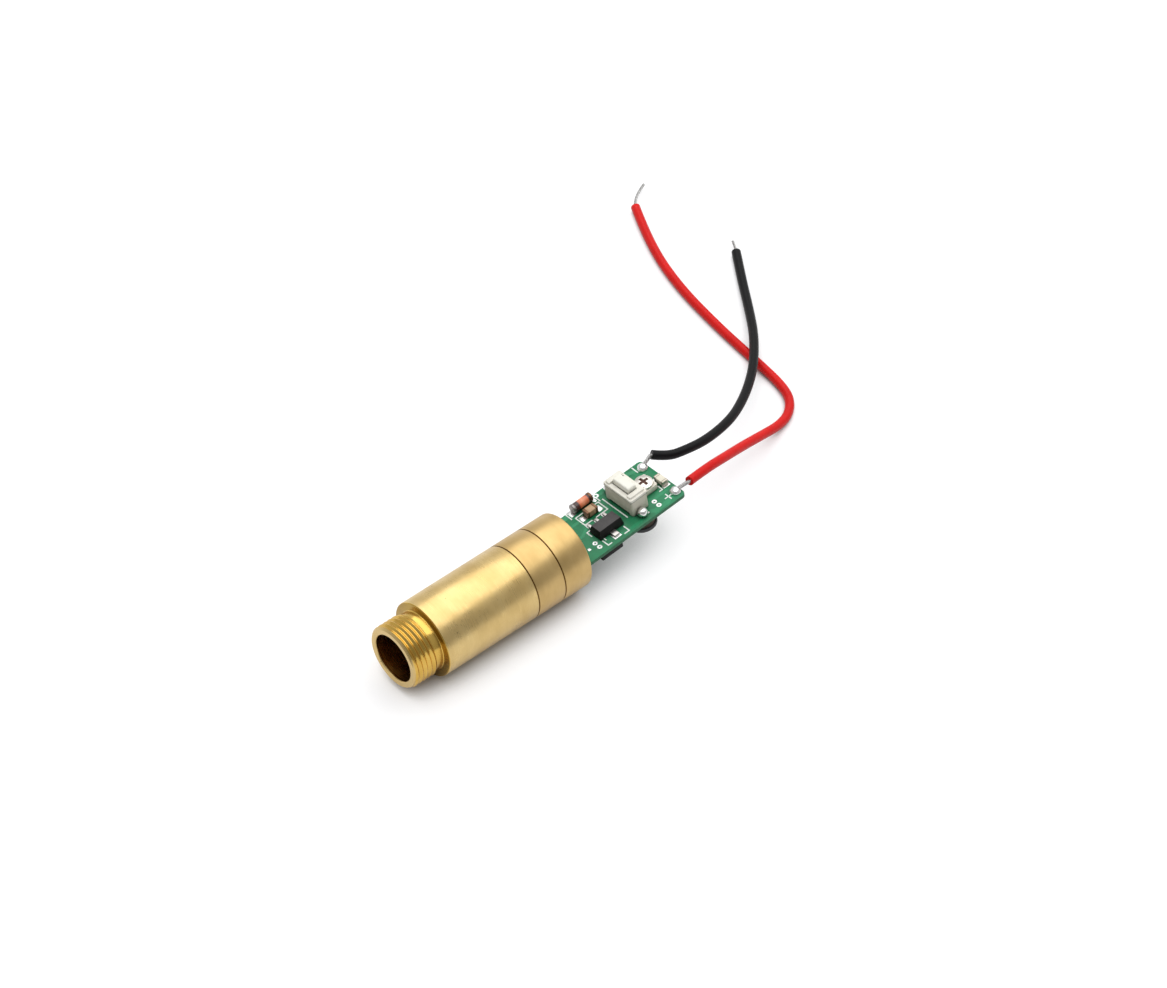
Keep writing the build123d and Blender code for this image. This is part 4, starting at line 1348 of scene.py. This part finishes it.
@dataclass
class Studio:
    """Pale floor, soft light and the camera of the photograph."""

    floor_z: float = -6.0
    target: Point = (-6.6, 41.64, 0.0)
    azimuth: float = 48.74
    elevation: float = 45.85
    distance: float = 800.0
    lens: float = 169.82
    sensor: float = 36.0
    sight: float = 20.0
    floor_reach: float = 3000.0
    floor_tone: Colour = (0.62, 0.62, 0.63)
    floor_glow: float = 0.48
    mirrored_glow: float = 0.7
    shade_reach: float = 25.0
    shade_limits: Flat = (0.25, 0.62)
    sky: Flat = (0.28, 0.8)
    bright_side: Point = (-0.8, 0.6, 0.0)
    key_place: Point = (-110.0, 250.0, 820.0)
    key_size: float = 1300.0
    key_power: float = 7.4

    def build(self) -> None:
        """Sets up the floor, the world, the lamp and the camera."""
        self.build_floor()
        self.build_world()
        self.build_key()
        self.build_camera()

    def build_floor(self) -> None:
        """Lays the floor."""
        bm = bmesh.new()
        bmesh.ops.create_grid(bm, x_segments=1, y_segments=1, size=self.floor_reach * MM)
        bmesh.ops.translate(bm, vec=(0, 0, self.floor_z * MM), verts=bm.verts)
        mesh = bpy.data.meshes.new("floor")
        bm.to_mesh(mesh)
        bm.free()
        floor = bpy.data.objects.new("floor", mesh)
        bpy.context.collection.objects.link(floor)
        shader = ShaderTree("pale_floor")
        path = shader.node("LightPath", {}).outputs
        seen = path["Is Camera Ray"]
        for ray in ("Is Glossy Ray", "Is Transmission Ray"):
            share = shader.combine("MULTIPLY", path[ray], self.mirrored_glow)
            seen = shader.combine("MAXIMUM", seen, share)
        # Painted shadow: the floor's glow fades near things by ambient occlusion, darkening their contact
        # shadow.
        sky = shader.node("AmbientOcclusion", {"Distance": self.shade_reach * MM}).outputs["AO"]
        shaded = shader.combine("MULTIPLY", seen, shader.spread(sky, (0.0, 1.0), self.shade_limits))
        shader.set(
            Base_Color=(*self.floor_tone, 1.0),
            Roughness=0.9,
            Specular_IOR_Level=0.0,
            Emission_Color=(1.0, 1.0, 1.0, 1.0),
            Emission_Strength=shader.combine("MULTIPLY", shaded, self.floor_glow),
        )
        mesh.materials.append(shader.material)

    def build_world(self) -> None:
        """Lights the scene from all round with a pale sky, brighter behind the barrel's far side."""
        world = bpy.data.worlds.new("studio")
        bpy.context.scene.world = world
        world.use_nodes = True
        nodes = world.node_tree.nodes
        links = world.node_tree.links
        way = nodes.new("ShaderNodeTexCoord")
        side = nodes.new("ShaderNodeVectorMath")
        side.operation = "DOT_PRODUCT"
        links.new(way.outputs["Generated"], side.inputs[0])
        side.inputs[1].default_value = self.bright_side
        ramp = nodes.new("ShaderNodeMapRange")
        links.new(side.outputs["Value"], ramp.inputs["Value"])
        for name, value in zip(("From Min", "From Max", "To Min", "To Max"), (-1.0, 1.0, *self.sky)):
            ramp.inputs[name].default_value = value
        sky = nodes["Background"]
        sky.inputs["Color"].default_value = (1.0, 1.0, 1.0, 1.0)
        links.new(ramp.outputs[0], sky.inputs["Strength"])

    def build_key(self) -> None:
        """Hangs one wide square lamp over the object and points it there."""
        lamp = bpy.data.lights.new("key", "AREA")
        lamp.shape = "SQUARE"
        lamp.size = self.key_size * MM
        lamp.energy = self.key_power
        holder = bpy.data.objects.new("key", lamp)
        bpy.context.collection.objects.link(holder)
        holder.location = Vector(self.key_place) * MM
        aim = Vector(self.target) * MM - holder.location
        holder.rotation_euler = aim.to_track_quat("-Z", "Y").to_euler()

    def build_camera(self) -> None:
        """Places the camera at the photograph's angle."""
        turn = math.radians(self.azimuth)
        rise = math.radians(self.elevation)
        back = Vector((math.sin(turn) * math.cos(rise), -math.cos(turn) * math.cos(rise), math.sin(rise)))
        lens = bpy.data.cameras.new("camera")
        lens.sensor_width = self.sensor
        lens.sensor_fit = "HORIZONTAL"
        lens.lens = self.lens
        lens.clip_end = self.sight
        camera = bpy.data.objects.new("camera", lens)
        bpy.context.collection.objects.link(camera)
        camera.location = (Vector(self.target) + back * self.distance) * MM
        camera.rotation_euler = (-back).to_track_quat("-Z", "Y").to_euler()
        bpy.context.scene.camera = camera


LEAD_REST = -5.275

RED_LENGTH = 79.2
RED_PAD = (3.6, 50.63, 0.4068)
RED_ROUTE = (
    (3.55, 53.15, 2.75), (2.8, 57.1, 2.1), (1.85, 61.3, 0.7), (0.4, 66.5, -1.4), (-0.8, 71.7, -3.4),
    (-1.7, 75.9, -4.9), (-2.7, 78.8, LEAD_REST), (-4.9, 81.2, LEAD_REST), (-8.2, 82.3, LEAD_REST),
    (-13.8, 82.8, LEAD_REST), (-23.4, 83.5, LEAD_REST), (-34.4, 85.0, LEAD_REST), (-44.2, 88.0, LEAD_REST),
    (-51.6, 91.8, LEAD_REST),
)
RED_TIP = ((-53.3, 92.9, LEAD_REST), (-54.6, 96.2, LEAD_REST))

BLACK_LENGTH = 58.4
BLACK_PAD = (-3.6, 50.63, 0.4068)
BLACK_ROUTE = (
    (-4.25, 52.75, 2.5), (-2.95, 54.8, 1.75), (-2.55, 58.0, 1.3), (-2.85, 62.4, 0.25), (-4.5, 68.4, -1.1),
    (-6.9, 73.0, -2.2), (-9.9, 77.5, -3.0), (-13.3, 81.5, -3.5), (-17.9, 85.7, -4.1), (-23.3, 89.6, -5.0),
    (-28.8, 93.2, LEAD_REST), (-33.9, 96.7, LEAD_REST),
)
BLACK_TIP = ((-34.8, 97.3, LEAD_REST), (-36.0, 97.9, LEAD_REST))

EASED_PARTS = (
    # The switch body takes a darker cream than its cover: painted shade on its sides.
    EasedPart("switch_base", "switch_cream_shaded", "cream_plastic", 0.09, segments=3),
    EasedPart("switch_cover", "cover_cream", "cream_plastic", 0.05),
    EasedPart("switch_button", "button_cream", "cream_plastic", 0.06, Body.BUTTON),
    EasedPart("trimmer_base", "trimmer_ceramic", "trimmer_white", 0.05),
    EasedPart("trimmer_terminals", "tinned", "tinned_metal", 0.03),
    # The transistor's top face takes a lighter black than its sides: painted light on the lit top.
    EasedPart(
        "transistor_body", "package_black", "package_black", 0.04,
        second_finish="package_lit_top", second_faces=faces_up,
    ),
    EasedPart("transistor_leads", "leg_tin", "tinned_metal", 0.04),
    EasedPart("filter_capacitor", "capacitor_tan", "capacitor_tan", 0.05),
    EasedPart("filter_capacitor_ends", "brown_plating", "chip_ends", 0.08, segments=3),
    EasedPart("output_capacitor", "capacitor_cream", "capacitor_cream", 0.05),
    EasedPart("output_capacitor_ends", "chip_plating", "chip_ends", 0.08, segments=3),
    EasedPart("controller_chip", "package_black", "package_black", 0.05, grow=0.45),
    EasedPart("controller_leads", "tinned", "tinned_metal", 0.03),
    EasedPart("inductor_core", "ferrite", "ferrite", 0.06),
    EasedPart(
        "trimmer_rotor", "nickel", "trimmer_metal", 0.04, Body.ROTOR, crease=35.0, piece="trimmer_dial",
        second_finish="slot_shade", second_faces=in_recess,
    ),
    EasedPart(
        "glass_diode_caps", "dull_solder", "tinned_metal", 0.1, segments=3, crease=32.0, piece="diode_ends",
        second_finish="brown_plating", second_faces=on_far_end,
    ),
)

KEPT_NODES = {
    "lens_cell": "bore_brass",
    "lens_retainer": "bore_brass",
    "infrared_filter": "filter_glass",
    "expander_lens": "lens_glass",
    "doubling_crystal": "doubler_crystal",
    "laser_crystal": "laser_crystal",
    "diode_header": "gold_plate",
    "diode_can": "gold_plate",
    "diode_window": "lens_glass",
    "diode_pins": "gold_plate",
    "switch_terminals": "tinned",
    "glass_diode": "diode_glass",
    "inductor_winding": "copper_turns",
    "inductor_terminals": "tinned",
}


def dress_kept(nodes: dict[str, bpy.types.Object], finishes: Finishes) -> None:
    """Gives the solids that stay their finishes.

    Args:
        nodes: Objects of the part.
        finishes: Finishes of the module.
    """
    for node, finish in KEPT_NODES.items():
        for place in nodes[node].material_slots:
            place.material = finishes[finish]
        LOG.info("dressed %s in %s", node, finish)


def main() -> None:
    """Builds every piece in order."""
    logging.basicConfig(level=logging.INFO, format="%(name)s: %(message)s")
    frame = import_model()
    nodes = frame["nodes"]
    finishes = make_finishes()
    bpy.context.scene.view_settings.view_transform = "Standard"
    Studio().build()
    SupplyLead("red", finishes, RED_ROUTE, RED_TIP, RED_LENGTH, RED_PAD).build()
    SupplyLead("black", finishes, BLACK_ROUTE, BLACK_TIP, BLACK_LENGTH, BLACK_PAD).build()
    BrassBarrel(finishes).build()
    Optics(finishes).build()
    DriverBoard(finishes).build()
    for part in EASED_PARTS:
        part.build(nodes, finishes)
    SwitchShadeLine(finishes).build()
    SnapDome(finishes, nodes).build()
    SolderJoints(finishes).build()
    dress_kept(nodes, finishes)


if __name__ == "__main__":
    main()
